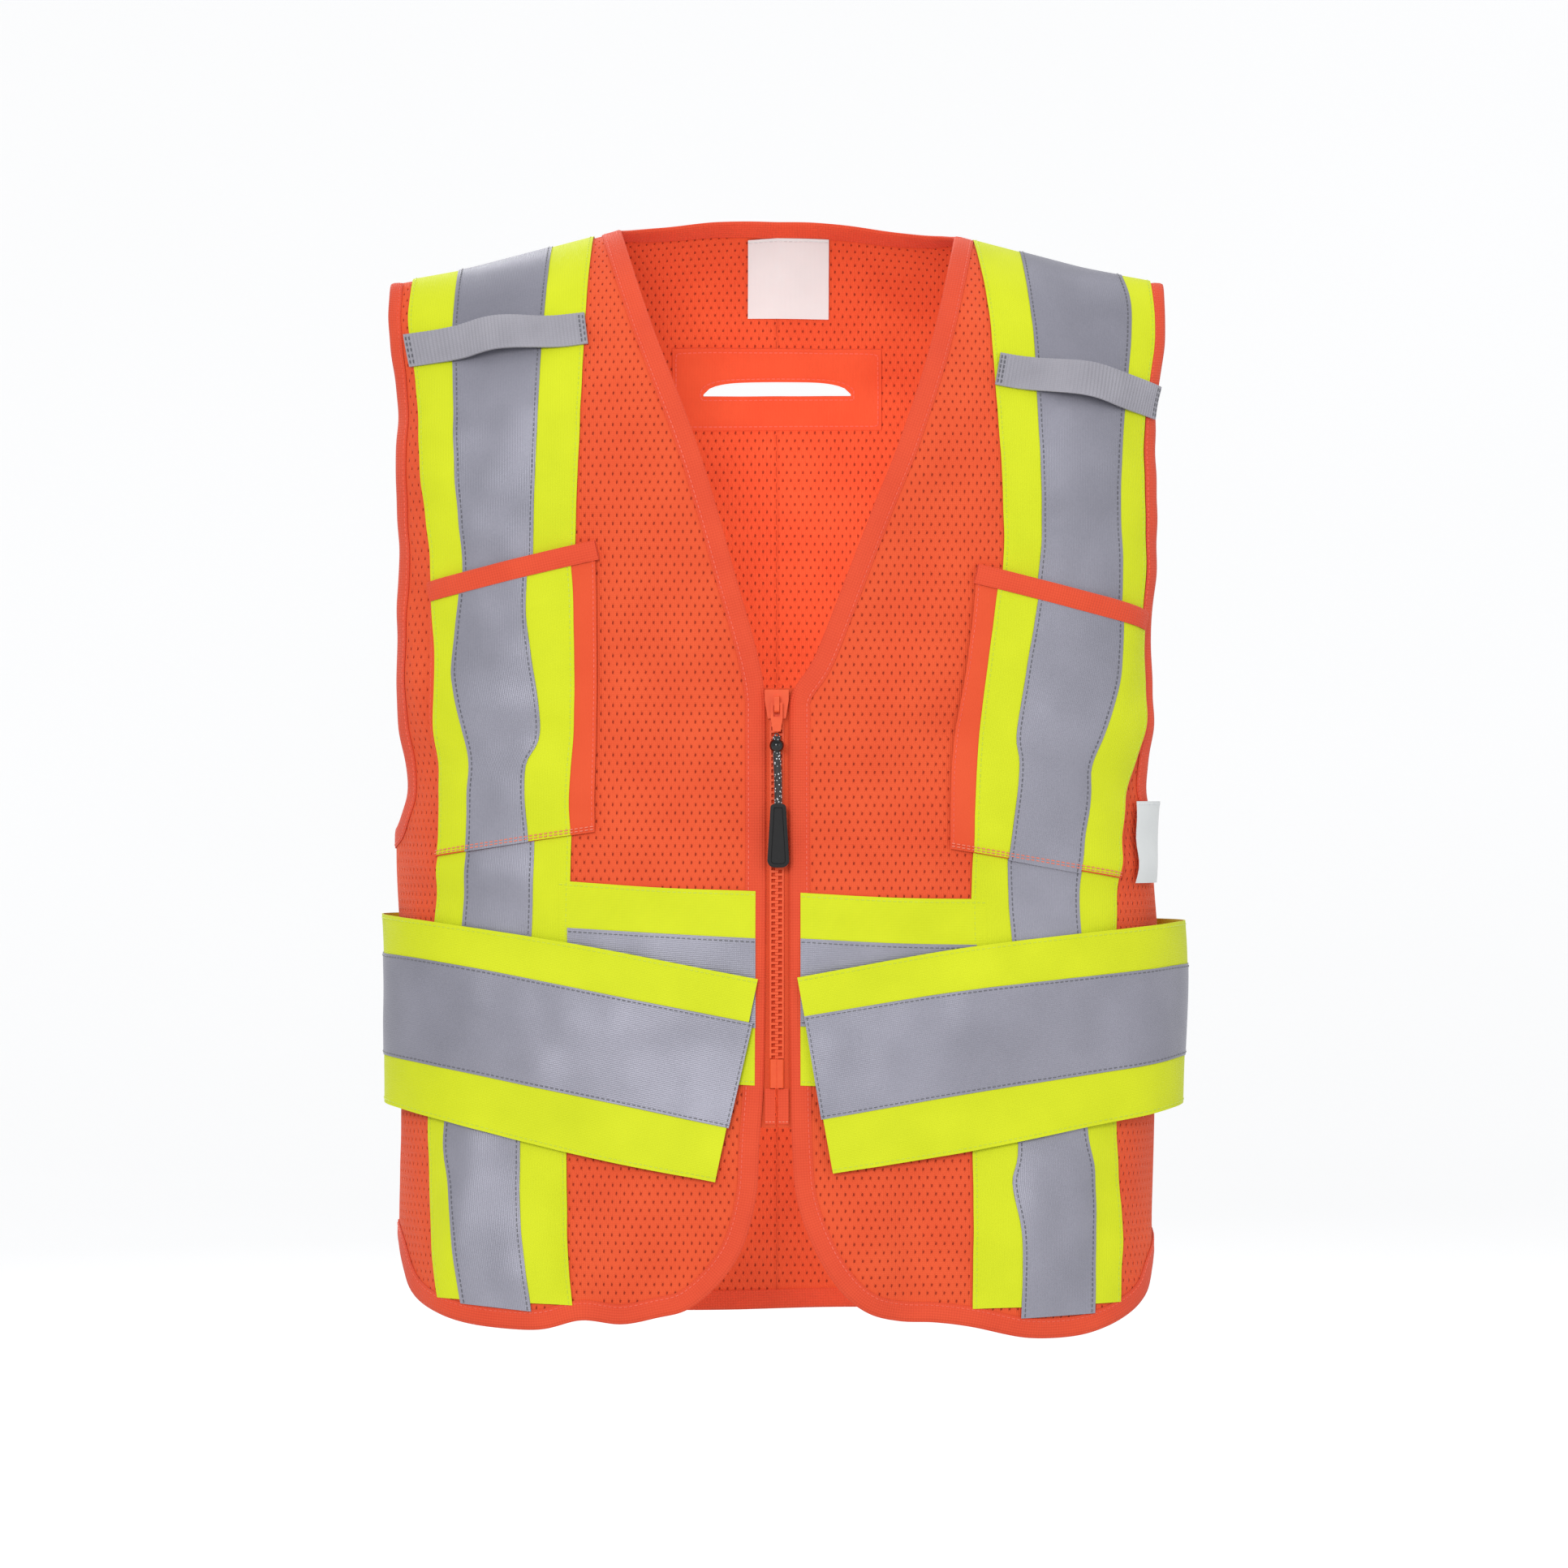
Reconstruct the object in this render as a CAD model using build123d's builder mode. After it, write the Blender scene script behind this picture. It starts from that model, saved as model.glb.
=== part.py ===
"""High visibility mesh vest, in millimetres.

+Z is up, the front faces -Y and the wearer's left is +X. The origin lies between the two
shoulder neck points. Below the chest line every layer is a wall of one plan oval, cut by an
outline seen from the front. Above it the layers arch over the shoulders.
"""

from build123d import *
import math
import os

# Body of the vest
half_width = 228.0
front_depth = 105.0
back_depth = 95.0
side_radius = 80.0
chest_line = -165.0
hem_line = -655.0
armhole_inset = 8.0
shoulder_slope = 0.26
collar_rise = 9.0
back_neck_height = 13.0

# Layers, as distances outwards from the inner face of the mesh
mesh_thickness = 1.0
layer_gap = 0.3
arch_step = 6.5
arch_ease = 1.5
arch_spacing = 6.0
tape_thickness = 0.4
binding_thickness = 0.6
binding_width = 11.0
webbing_thickness = 1.4
seam_gap = 0.5
hinge_gap = 0.8
trim_setback = 5.0

# Front opening
zip_top = -277.0
zip_end = -534.0
front_edge = 7.5
chest_edge = 48.0
curve_top = -560.0
curve_foot = 54.0

# Armhole below the chest line
armhole_centre = -300.0
armhole_drop = 60.0

# Tapes
lime_width = 104.0
silver_width = 50.8
neck_margin = 1.0
arm_margin = 0.5
chest_pull = 6.0
silver_pull = 4.4
silver_push = 1.6
waist_top = -394.0
waist_height = 118.0
waist_slope = 0.03

# Belt
belt_slack = 0.4
belt_thickness = 0.8
belt_height = 110.0
belt_side_top = -412.0
belt_drop = 40.0
belt_end = 11.0
belt_hook_length = 60.0
hook_thickness = 0.7

# Pockets
pocket_inner_border = 8.0
pocket_outer_border = 4.0
pocket_top_inner = -198.0
pocket_top_outer = -232.0
pocket_bottom = -375.0
pocket_clearance = 9.3
pocket_wall = 0.8
pocket_seam = 2.0

# Back slot and label
slot_length = 91.0
slot_height = 9.0
slot_middle = -89.0
facing_width = 129.0
facing_height = 51.0
label_width = 50.0
label_height = 49.0
side_label_height = 48.0
side_label_top = -338.0

# Microphone tabs
tab_width = 21.0
tab_inner_margin = 3.0
tab_outer_margin = 5.0
tab_inner_height = -72.0
tab_slope = 0.18
tab_bow = 9.0
tab_stand_off = 1.2

# Zip
tooth_pitch = 3.6
tooth_height = 1.4
tooth_depth = 2.6
tooth_overlap = 1.0
chain_foot = -495.0
tape_width = 16.0
tape_drop = 0.2
tape_weave = 0.7
box_width = 4.0
box_depth = 5.0
box_height = 17.0
box_gap = 0.15
box_middle = 105.5
box_corner = 1.0
slider_top_width = 14.2
slider_foot_width = 10.6
slider_length = 17.0
plate_thickness = 2.4
plate_gap = 0.3
post_length = 6.0
post_width = 2.2
bridge_width = 3.0
bridge_thickness = 1.5
bridge_half_length = 5.0
pull_plane = 112.5
pull_axis_drop = 8.5
crossbar_radius = 0.8
pull_tab_length = 16.2
pull_tab_width = 7.0
pull_tab_thickness = 1.4
tab_eye_length = 7.5
eye_gap = 0.5
bead_radius = 4.3
bead_drop = 24.5
cord_radius = 2.3
cord_gap = 0.5
grip_length = 37.5
grip_top_width = 9.0
grip_foot_width = 13.4
grip_thickness = 5.0
grip_rounding = 1.2

# Worked out from the values above
side_centre = half_width - side_radius
shoulder_half_width = half_width - armhole_inset
band_centre = shoulder_half_width - binding_width / 2 - arm_margin - lime_width / 2
neck_half_width = band_centre - lime_width / 2 - neck_margin - binding_width
binding_inner = mesh_thickness + layer_gap
binding_outer = binding_inner + binding_thickness
band_inner = mesh_thickness + layer_gap
band_outer = band_inner + tape_thickness
silver_inner = band_outer + layer_gap
silver_outer = silver_inner + tape_thickness
waist_inner = silver_outer + layer_gap
waist_outer = waist_inner + tape_thickness
waist_silver_inner = waist_outer + layer_gap
waist_silver_outer = waist_silver_inner + tape_thickness
belt_inner = waist_silver_outer + belt_slack + hook_thickness + layer_gap
belt_outer = belt_inner + belt_thickness
lime_reach = lime_width / 2 - chest_pull
pocket_inner = band_centre - lime_reach - pocket_inner_border
pocket_outer = band_centre + lime_reach + pocket_outer_border
tab_inner = band_centre - lime_width / 2 + tab_inner_margin
tab_outer = band_centre + lime_width / 2 - tab_outer_margin
pocket_face = pocket_clearance + pocket_wall
pocket_trim = pocket_face + layer_gap
reach = 2 * half_width
front_top = chest_line - seam_gap
back_top = chest_line - layer_gap
tooth_root = box_gap + box_width
tooth_middle = front_depth + mesh_thickness / 2
slider_middle = zip_top - slider_length / 2
pull_axis = zip_top - pull_axis_drop
swing_axis = pull_axis - pull_tab_length
cord_top = swing_axis - cord_radius - cord_gap
bead_middle = zip_top - pull_axis_drop - bead_drop
cord_points = [(0, cord_top), (0, cord_top - 12), (0.9, cord_top - 26), (0.9, cord_top - 40)]
grip_middle, grip_top = cord_points[-1]

os.makedirs("parts", exist_ok=True)


def wide_radius(depth):
    """Radius of the flat arc of the oval that is tangent to the two side arcs."""
    return (side_centre**2 + depth**2 - side_radius**2) / (2 * (depth - side_radius))


def oval(distance):
    """Plan oval of tangent arcs, grown outwards by a distance."""
    with BuildSketch() as plan:
        with BuildLine():
            for depth, front in ((front_depth, True), (back_depth, False)):
                radius = wide_radius(depth)
                middle = 270 if front else 90
                centre = (0, (radius - depth) * (1 if front else -1))
                spread = math.degrees(math.atan2(side_centre, radius - depth))
                CenterArc(centre, radius + distance, middle - spread, 2 * spread)
                right = 270 + spread if front else 0
                left = 180 if front else 90 + spread
                CenterArc((side_centre, 0), side_radius + distance, right, 90 - spread)
                CenterArc((-side_centre, 0), side_radius + distance, left, 90 - spread)
        make_face()
    return plan.sketch


def wall(inner, outer, bottom, top):
    """Wall of the oval between two distances and two heights."""
    with BuildSketch(Plane.XY.offset(bottom)) as plan:
        add(oval(outer))
        add(oval(inner), mode=Mode.SUBTRACT)
    extrude(plan.sketch, amount=top - bottom)


def keep_front(outline, setback=hinge_gap):
    """Keeps what an outline, drawn as seen from the front, covers on the front half."""
    with BuildSketch(Plane.XZ.offset(setback)) as cover:
        with BuildLine():
            outline()
        make_face()
    extrude(cover.sketch, amount=reach, mode=Mode.INTERSECT)


def keep_back(outline):
    """Keeps what an outline, drawn as seen from the front, covers on the back half."""
    with BuildSketch(Plane.XZ) as cover:
        with BuildLine():
            outline()
        make_face()
    extrude(cover.sketch, amount=-reach, mode=Mode.INTERSECT)


def polygon(points):
    """Returns a drawing of a closed outline."""
    return lambda: Polyline(points, close=True)


def armhole(grown=0, mode=Mode.SUBTRACT, side=1):
    """Opening for an arm, seen from the side, below the chest line: side is 1 on the left."""
    edge = math.sqrt(side_radius**2 - (shoulder_half_width - side_centre) ** 2) + grown
    with BuildSketch(Plane.YZ.offset(side * side_centre)) as hole:
        with Locations((0, armhole_centre)):
            Ellipse(edge, armhole_drop + grown)
            Rectangle(2 * edge, -armhole_centre, align=(Align.CENTER, Align.MIN))
    extrude(hole.sketch, amount=side * reach, mode=mode)


def depth_at(x, depth, distance):
    """How far the oval stands from the middle at x."""
    radius = wide_radius(depth)
    turn = math.atan2(side_centre, radius - depth)
    if abs(x) < (radius + distance) * math.sin(turn):
        return math.sqrt((radius + distance) ** 2 - x**2) - (radius - depth)
    return math.sqrt((side_radius + distance) ** 2 - (abs(x) - side_centre) ** 2)


def ridge_at(x, distance):
    """Height of the shoulder line over the chest line at x."""
    collar = collar_rise * max(0, 1 - (x / neck_half_width) ** 2)
    return -chest_line - shoulder_slope * (abs(x) - neck_half_width) + collar + distance


def reach_at(x, angle, distance):
    """Distance of the arch from the chest axis, in the plane turned up by an angle."""
    depth = depth_at(x, front_depth if angle < 90 else back_depth, distance)
    across = math.cos(math.radians(angle)) / depth
    up = math.sin(math.radians(angle)) / ridge_at(x, distance)
    return 1 / math.hypot(across, up)


def front_y(x, z, distance):
    """Where the front arch stands at a place seen from the front."""
    rise = (z - chest_line) / ridge_at(x, distance)
    return -depth_at(x, front_depth, distance) * math.sqrt(1 - rise**2)


def arch_angles(first, last):
    """Section angles, closer together near the shoulder line, where the arch bends most."""
    count = round((last - first) / arch_step)
    shares = [(i / count) ** arch_ease for i in range(count + 1)]
    if first < 90:
        return [last - (last - first) * share for share in reversed(shares)]
    return [first + (last - first) * share for share in shares]


def arch(first, last, start, end, inner, outer):
    """Arched layer between two edges, from one angle to another: 0 is level to the front, 90 up."""
    spans = max(4, round((end(90) - start(90)) / arch_spacing))
    sections = []
    for angle in arch_angles(first, last):
        turned = math.radians(angle)
        low_x, high_x = start(angle), end(angle)
        across = [low_x + (high_x - low_x) * k / spans for k in range(spans + 1)]
        normal = (0, -math.sin(turned), -math.cos(turned))
        with BuildSketch(Plane((0, 0, chest_line), x_dir=(1, 0, 0), z_dir=normal)) as section:
            with BuildLine():
                low = Spline([(x, reach_at(x, angle, inner)) for x in across])
                high = Spline([(x, reach_at(x, angle, outer)) for x in across])
                Line(low @ 0, high @ 0)
                Line(low @ 1, high @ 1)
            make_face()
        sections.append(section.sketch)
    loft(sections)


def arch_over(start, end, inner, outer):
    """Arched layer from the chest line in front, over the shoulder line, to the chest line behind."""
    arch(0, 90, start, end, inner, outer)
    arch(90, 180, start, end, inner, outer)


def level(x):
    """An edge that stays at one x all the way round an arch."""
    return lambda angle: x


def neck_edge(angle):
    """Front neckline, from the chest line up to the shoulder."""
    return chest_edge + (neck_half_width - chest_edge) * math.sin(math.radians(min(angle, 90)))


def tape_edge(shoulder_offset, chest_offset):
    """Edge of a shoulder tape, drawn in towards the chest line as the plan curves away."""
    def edge(angle):
        share = math.sin(math.radians(angle))
        return band_centre + chest_offset + (shoulder_offset - chest_offset) * share
    return edge


def front_outline(inset=0):
    """Outline of the left front: neckline, zip edge, rounded foot, hem, and out past the side."""
    def draw():
        neck = [(chest_edge, front_top), (32, -212), (18, -255), (front_edge, zip_top - 6)]
        foot = [(front_edge, curve_top), (16, -603), (33, -629), (curve_foot, hem_line)]
        upper = Spline([(x + inset, z) for x, z in neck])
        lower = Spline([(x + inset, z + inset) for x, z in foot])
        Line(upper @ 1, lower @ 0)
        Polyline(lower @ 1, (reach, hem_line + inset), (reach, front_top), upper @ 0)
    return draw


def sloped(start, end, height, top, slope, lean=0):
    """Outline of a level or sloping strip; lean moves its lower start corner outwards."""
    end_top = top + slope * (end - start)
    return polygon([(start, top), (end, end_top), (end, end_top - height), (start + lean, top - height)])


whole_back = polygon([(-reach, hem_line), (reach, hem_line), (reach, 0), (-reach, 0)])
lime_low = tape_edge(-lime_width / 2, -lime_reach)
lime_high = tape_edge(lime_width / 2, lime_reach)
silver_low = tape_edge(-silver_width / 2, silver_pull - silver_width / 2)
silver_high = tape_edge(silver_width / 2, silver_push + silver_width / 2)
belt_slope = -belt_drop / half_width
belt_inner_top = belt_side_top + belt_slope * (half_width - belt_end)
silver_drop = (belt_height - silver_width) / 2
facing_foot = slot_middle - facing_height / 2
band_foot = hem_line + binding_width + seam_gap


def finish(piece, name):
    """Names a finished piece and writes it."""
    piece.label = name
    export_step(piece, f"parts/{name}.step")


def finish_pair(piece, name):
    """Writes a piece of the left half and its mirror image."""
    finish(piece, f"{name}_left")
    finish(piece.mirror(Plane.YZ), f"{name}_right")


def back_neck_cut(drop=0, mode=Mode.SUBTRACT):
    """What stands over the back neckline, or over a line a drop below it."""
    with BuildSketch(Plane.XZ.offset(-1)) as cover:
        with BuildLine():
            points = [(-neck_half_width, -drop), (0, back_neck_height - drop), (neck_half_width, -drop)]
            edge = Spline(points)
            Polyline(edge @ 1, (neck_half_width, reach), (-neck_half_width, reach), edge @ 0)
        make_face()
    extrude(cover.sketch, amount=-reach, mode=mode)


def slot_cut():
    """Removes the slot: a flat foot and an arched top."""
    half = slot_length / 2
    foot = slot_middle - slot_height / 2
    with BuildSketch(Plane.XZ) as slot:
        with BuildLine():
            top = ThreePointArc((-half, foot + slot_height / 2), (0, foot + slot_height),
                                (half, foot + slot_height / 2))
            Polyline(top @ 1, (half, foot), (-half, foot), top @ 0)
        make_face()
    extrude(slot.sketch, amount=-reach, mode=Mode.SUBTRACT)


# Back
with BuildPart() as back_panel:
    wall(0, mesh_thickness, hem_line, chest_line)
    keep_back(whole_back)
    armhole()
    armhole(side=-1)
finish(back_panel.part, "back_panel")

with BuildPart() as back_yoke:
    arch(90, 180, level(-shoulder_half_width), level(shoulder_half_width), 0, mesh_thickness)
    back_neck_cut()
    slot_cut()
finish(back_yoke.part, "back_yoke")

with BuildPart() as slot_facing:
    arch(112.5, 180, level(-facing_width / 2), level(facing_width / 2),
         -layer_gap - binding_thickness, -layer_gap)
    with BuildSketch(Plane.XZ):
        with Locations((0, facing_foot)):
            Rectangle(reach, facing_height, align=(Align.CENTER, Align.MIN))
    extrude(amount=-reach, mode=Mode.INTERSECT)
    slot_cut()
finish(slot_facing.part, "slot_facing")

with BuildPart() as neck_label:
    arch(90, 180, level(-label_width / 2), level(label_width / 2),
         -layer_gap - tape_thickness, -layer_gap)
    with BuildSketch(Plane.XZ):
        with Locations((0, back_neck_height - 8)):
            Rectangle(label_width, label_height, align=(Align.CENTER, Align.MAX))
    extrude(amount=-reach, mode=Mode.INTERSECT)
finish(neck_label.part, "neck_label")

with BuildPart() as back_hem_binding:
    wall(binding_inner, binding_outer, hem_line, hem_line + binding_width)
    keep_back(whole_back)
finish(back_hem_binding.part, "back_hem_binding")

with BuildPart() as belt_rear:
    wall(belt_inner, belt_outer, belt_side_top - belt_height, belt_side_top)
    keep_back(whole_back)
finish(belt_rear.part, "belt_rear")

with BuildPart() as belt_rear_reflective:
    silver_top = belt_side_top - silver_drop
    wall(belt_outer + layer_gap, belt_outer + layer_gap + tape_thickness,
         silver_top - silver_width, silver_top)
    keep_back(whole_back)
finish(belt_rear_reflective.part, "belt_rear_reflective")

with BuildPart() as back_neck_binding:
    arch(90, 180, level(-neck_half_width), level(neck_half_width), binding_inner, binding_outer)
    back_neck_cut(binding_width, mode=Mode.INTERSECT)
    back_neck_cut()
finish(back_neck_binding.part, "back_neck_binding")

# Shoulders
with BuildPart() as neck_binding:
    arch(0, 90, neck_edge, lambda angle: neck_edge(angle) + binding_width, binding_inner, binding_outer)
finish_pair(neck_binding.part, "neck_binding")

with BuildPart() as yoke:
    arch(0, 90, neck_edge, level(shoulder_half_width), 0, mesh_thickness)
finish_pair(yoke.part, "yoke")


def over_shoulder(low, high, inner, outer):
    """Tape over the shoulder, and its run down the back, which starts just below the chest line."""
    with BuildPart() as down_the_back:
        wall(inner, outer, band_foot, back_top)
        keep_back(sloped(low(180), high(180), back_top - band_foot, back_top, 0))
    with BuildPart() as tape:
        arch_over(low, high, inner, outer)
        add(down_the_back.part)
    return tape.part


finish_pair(over_shoulder(lime_low, lime_high, band_inner, band_outer), "shoulder_band")
finish_pair(over_shoulder(silver_low, silver_high, silver_inner, silver_outer), "shoulder_reflective")

with BuildPart() as armhole_back:
    wall(binding_inner, binding_outer, armhole_centre - armhole_drop - binding_width, back_top)
    keep_back(whole_back)
    armhole(binding_width, mode=Mode.INTERSECT)
    armhole()
with BuildPart() as armhole_binding:
    arch_over(level(shoulder_half_width - binding_width / 2), level(shoulder_half_width),
              binding_inner, binding_outer)
    add(armhole_back.part)
finish_pair(armhole_binding.part, "armhole_binding")


def bow_at(x):
    """How far a microphone tab bows out over its span."""
    return tab_bow * math.sin(math.pi * (x - tab_inner) / (tab_outer - tab_inner))


tab_middle = tab_inner_height - tab_slope * (tab_outer - tab_inner) / 2
tab_lean = (front_y(band_centre, tab_middle + 1, 0) - front_y(band_centre, tab_middle - 1, 0)) / 2
with BuildPart() as mic_tab:
    span = tab_outer - tab_inner
    across = [tab_inner + span * i / 8 for i in range(9)]
    inside = silver_outer + tab_stand_off
    with BuildSketch(Plane.XY.offset(tab_middle)):
        with BuildLine():
            faces = []
            for distance in (inside, inside + webbing_thickness):
                faces.append(Spline([(x, front_y(x, tab_middle, distance) - bow_at(x)) for x in across]))
            Line(faces[0] @ 0, faces[1] @ 0)
            Line(faces[0] @ 1, faces[1] @ 1)
        make_face()
    extrude(amount=2 * tab_width, dir=(0, tab_lean, 1), both=True)
    keep_front(sloped(tab_inner - 5, tab_outer + 5, tab_width, tab_inner_height + tab_width / 2, -tab_slope))
finish_pair(mic_tab.part, "mic_tab")

# Fronts, which swing open below the chest line
with BuildPart() as front_panel:
    wall(0, mesh_thickness, hem_line, front_top)
    keep_front(front_outline())
    armhole()
finish_pair(front_panel.part, "front_panel")

with BuildPart() as inside_edge:
    wall(0, 4, hem_line, front_top)
    keep_front(front_outline(binding_width), 0)
with BuildPart() as front_edge_binding:
    wall(binding_inner, binding_outer, hem_line, front_top)
    keep_front(front_outline(), trim_setback)
    add(inside_edge.part, mode=Mode.SUBTRACT)
finish_pair(front_edge_binding.part, "front_edge_binding")

with BuildPart() as front_armhole_binding:
    wall(binding_inner, binding_outer, armhole_centre - armhole_drop - binding_width, front_top)
    keep_front(sloped(side_centre, reach, -hem_line, 0, 0), trim_setback)
    armhole(binding_width, mode=Mode.INTERSECT)
    armhole()
finish_pair(front_armhole_binding.part, "front_armhole_binding")


def front_strip(inner, outer, outline, setback=hinge_gap):
    """Layer of the left front under an outline."""
    with BuildPart() as layer:
        wall(inner, outer, hem_line, front_top)
        keep_front(outline, setback)
    return layer.part


tall = front_top - band_foot
lime_line = sloped(lime_low(0), lime_high(0), tall, front_top, 0)
upright_line = sloped(silver_low(0), silver_high(0), tall, front_top, 0)
finish_pair(front_strip(band_inner, band_outer, lime_line), "front_band")
finish_pair(front_strip(silver_inner, silver_outer, upright_line), "front_reflective")

waist_start = front_edge + binding_width / 2
waist_line = sloped(waist_start, reach, waist_height, waist_top, -waist_slope)
silver_line = sloped(waist_start, reach, silver_width, waist_top - (waist_height - silver_width) / 2,
                     -waist_slope)
finish_pair(front_strip(waist_inner, waist_outer, waist_line, trim_setback), "waist_band")
finish_pair(front_strip(waist_silver_inner, waist_silver_outer, silver_line, trim_setback),
            "waist_reflective")

# Pockets
pocket_slope = (pocket_top_outer - pocket_top_inner) / (pocket_outer - pocket_inner)


def pocket_outline(inset, drop):
    """Pocket seen from the front, with a mouth that falls to the side."""
    start, end = pocket_inner + inset, pocket_outer - inset
    top = pocket_top_inner - drop + pocket_slope * inset
    end_top = top + pocket_slope * (end - start)
    foot = pocket_bottom + inset
    return polygon([(start, top), (end, end_top), (end, foot), (start, foot)])


with BuildPart() as pocket_room:
    wall(0, pocket_clearance, pocket_bottom, front_top)
    keep_front(pocket_outline(pocket_seam, -pocket_seam * 3))
with BuildPart() as pocket_bag:
    wall(waist_inner, pocket_face, pocket_bottom, front_top)
    keep_front(pocket_outline(0, 0))
    add(pocket_room.part, mode=Mode.SUBTRACT)
finish_pair(pocket_bag.part, "pocket_bag")

finish_pair(
    front_strip(pocket_trim, pocket_trim + binding_thickness,
                sloped(pocket_inner, pocket_outer, binding_width, pocket_top_inner, pocket_slope)),
    "pocket_binding",
)
band_drop = binding_width + seam_gap


def pocket_tape(low, high, inner):
    """Upright tape on the pocket, from its binding to its bottom."""
    top = pocket_top_inner - band_drop + pocket_slope * (low - pocket_inner)
    end_top = top + pocket_slope * (high - low)
    outline = polygon([(low, top), (high, end_top), (high, pocket_bottom), (low, pocket_bottom)])
    return front_strip(inner, inner + tape_thickness, outline)


finish_pair(pocket_tape(lime_low(0), lime_high(0), pocket_trim), "pocket_band")
finish_pair(pocket_tape(silver_low(0), silver_high(0), pocket_trim + tape_thickness + layer_gap),
            "pocket_reflective")

side_label_start = pocket_outer + pocket_seam
label_inner = binding_outer + layer_gap
finish(
    front_strip(label_inner, label_inner + tape_thickness,
                sloped(side_label_start, reach, side_label_height, side_label_top, 0),
                trim_setback * 3),
    "side_label",
)

# Belt ends
finish_pair(front_strip(belt_inner, belt_outer,
                        sloped(belt_end, reach, belt_height, belt_inner_top, -belt_slope,
                               -belt_slope * belt_height), trim_setback), "belt_strap")
silver_start = belt_end - belt_slope * silver_drop
finish_pair(front_strip(belt_outer + layer_gap, belt_outer + layer_gap + tape_thickness,
                        sloped(silver_start, reach, silver_width, belt_inner_top - silver_drop, -belt_slope,
                               -belt_slope * silver_width), 2 * trim_setback), "belt_reflective")
hook_start = belt_end - belt_slope * silver_drop + layer_gap
finish_pair(front_strip(belt_inner - layer_gap - hook_thickness, belt_inner - layer_gap,
                        sloped(hook_start, hook_start + belt_hook_length, silver_width,
                               belt_inner_top - silver_drop, -belt_slope)), "belt_hook")

# Zip
chain_top = slider_middle
chain_length = chain_top - chain_foot
tooth_count = int(chain_length / tooth_pitch)


def tooth_row(phase):
    """Teeth that reach past the middle, on the cord of the left tape."""
    width = tooth_root + tooth_overlap
    first = chain_foot + phase + tooth_height / 2
    with BuildPart() as chain:
        with BuildSketch(Plane.XY.offset(chain_foot)):
            with Locations((tooth_root - tooth_overlap / 2, -tooth_middle)):
                Rectangle(tooth_overlap, tooth_depth)
        extrude(amount=chain_length)
        with Locations([(tooth_root - width / 2, -tooth_middle, first + tooth_pitch * i)
                        for i in range(tooth_count)]):
            Box(width, tooth_depth, tooth_height)
    return chain.part


finish(tooth_row(0), "zip_teeth_left")
finish(tooth_row(tooth_pitch / 2).mirror(Plane.YZ), "zip_teeth_right")

finish_pair(
    front_strip(-tape_drop - tape_weave, -tape_drop,
                sloped(tooth_root, tooth_root + tape_width, chain_top - zip_end, chain_top, 0)),
    "zip_tape",
)

with BuildPart() as zip_box:
    with BuildSketch(Plane.XY.offset(chain_foot - seam_gap)):
        with Locations((box_gap, -box_middle)):
            Rectangle(box_width, box_depth, align=(Align.MIN, Align.CENTER))
    extrude(amount=-box_height)
    fillet(zip_box.edges().filter_by(Axis.Z).group_by(Axis.X)[-1], box_corner)
finish(zip_box.part, "zip_box_left")
finish(zip_box.part.mirror(Plane.YZ), "zip_pin_right")

# Slider: two plates joined by a post that stands beside the left teeth
tooth_front = tooth_middle + tooth_depth / 2
tooth_back = tooth_middle - tooth_depth / 2
plate_inside = tooth_front + plate_gap
plate_outside = plate_inside + plate_thickness
slider_foot = zip_top - slider_length


def plate(start, thickness):
    """Slider plate that narrows to its foot, from one distance in front of the middle."""
    top, foot = slider_top_width / 2, slider_foot_width / 2
    with BuildSketch(Plane.XZ.offset(start)) as face:
        with BuildLine():
            Polyline((-top, zip_top), (top, zip_top), (top, zip_top - post_length),
                     (foot, slider_foot), (-foot, slider_foot), (-top, zip_top - post_length), close=True)
        make_face()
    extrude(face.sketch, amount=thickness)


with BuildPart() as zip_slider:
    plate(plate_inside, plate_thickness)
    plate(tooth_back - plate_gap - plate_thickness, plate_thickness)
    with BuildSketch(Plane.XZ.offset(tooth_back - plate_gap)):
        with Locations((-tooth_overlap - plate_gap - post_width / 2, zip_top)):
            Rectangle(post_width, post_length, align=(Align.CENTER, Align.MAX))
    extrude(amount=tooth_depth + 2 * plate_gap)
    outer = pull_plane + crossbar_radius + seam_gap + bridge_thickness
    with BuildSketch(Plane.YZ.offset(-bridge_width / 2)):
        with Locations((-plate_outside, pull_axis)):
            Rectangle(outer - plate_outside, 2 * bridge_half_length, align=(Align.MAX, Align.CENTER))
            Rectangle(outer - plate_outside - bridge_thickness, 2 * bridge_half_length - 2 * bridge_thickness,
                      align=(Align.MAX, Align.CENTER), mode=Mode.SUBTRACT)
    extrude(amount=bridge_width)
    fillet(zip_slider.edges().filter_by(Axis.X).group_by(Axis.Y)[0], bridge_thickness * 0.9)
finish(zip_slider.part, "zip_slider")

with BuildPart() as pull_tab:
    half, end_half = pull_tab_width / 2, cord_radius
    eye_foot = pull_axis - tab_eye_length
    with BuildSketch(Plane.XZ.offset(pull_plane - pull_tab_thickness / 2)):
        with BuildLine():
            Polyline((-half, pull_axis + crossbar_radius), (half, pull_axis + crossbar_radius),
                     (half, eye_foot - crossbar_radius), (end_half, swing_axis), (-end_half, swing_axis),
                     (-half, eye_foot - crossbar_radius), close=True)
        make_face()
        with Locations((0, pull_axis - crossbar_radius)):
            Rectangle(bridge_width + 2 * eye_gap, tab_eye_length - crossbar_radius,
                      align=(Align.CENTER, Align.MAX), mode=Mode.SUBTRACT)
    extrude(amount=pull_tab_thickness)
finish(pull_tab.part, "pull_tab")

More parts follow.
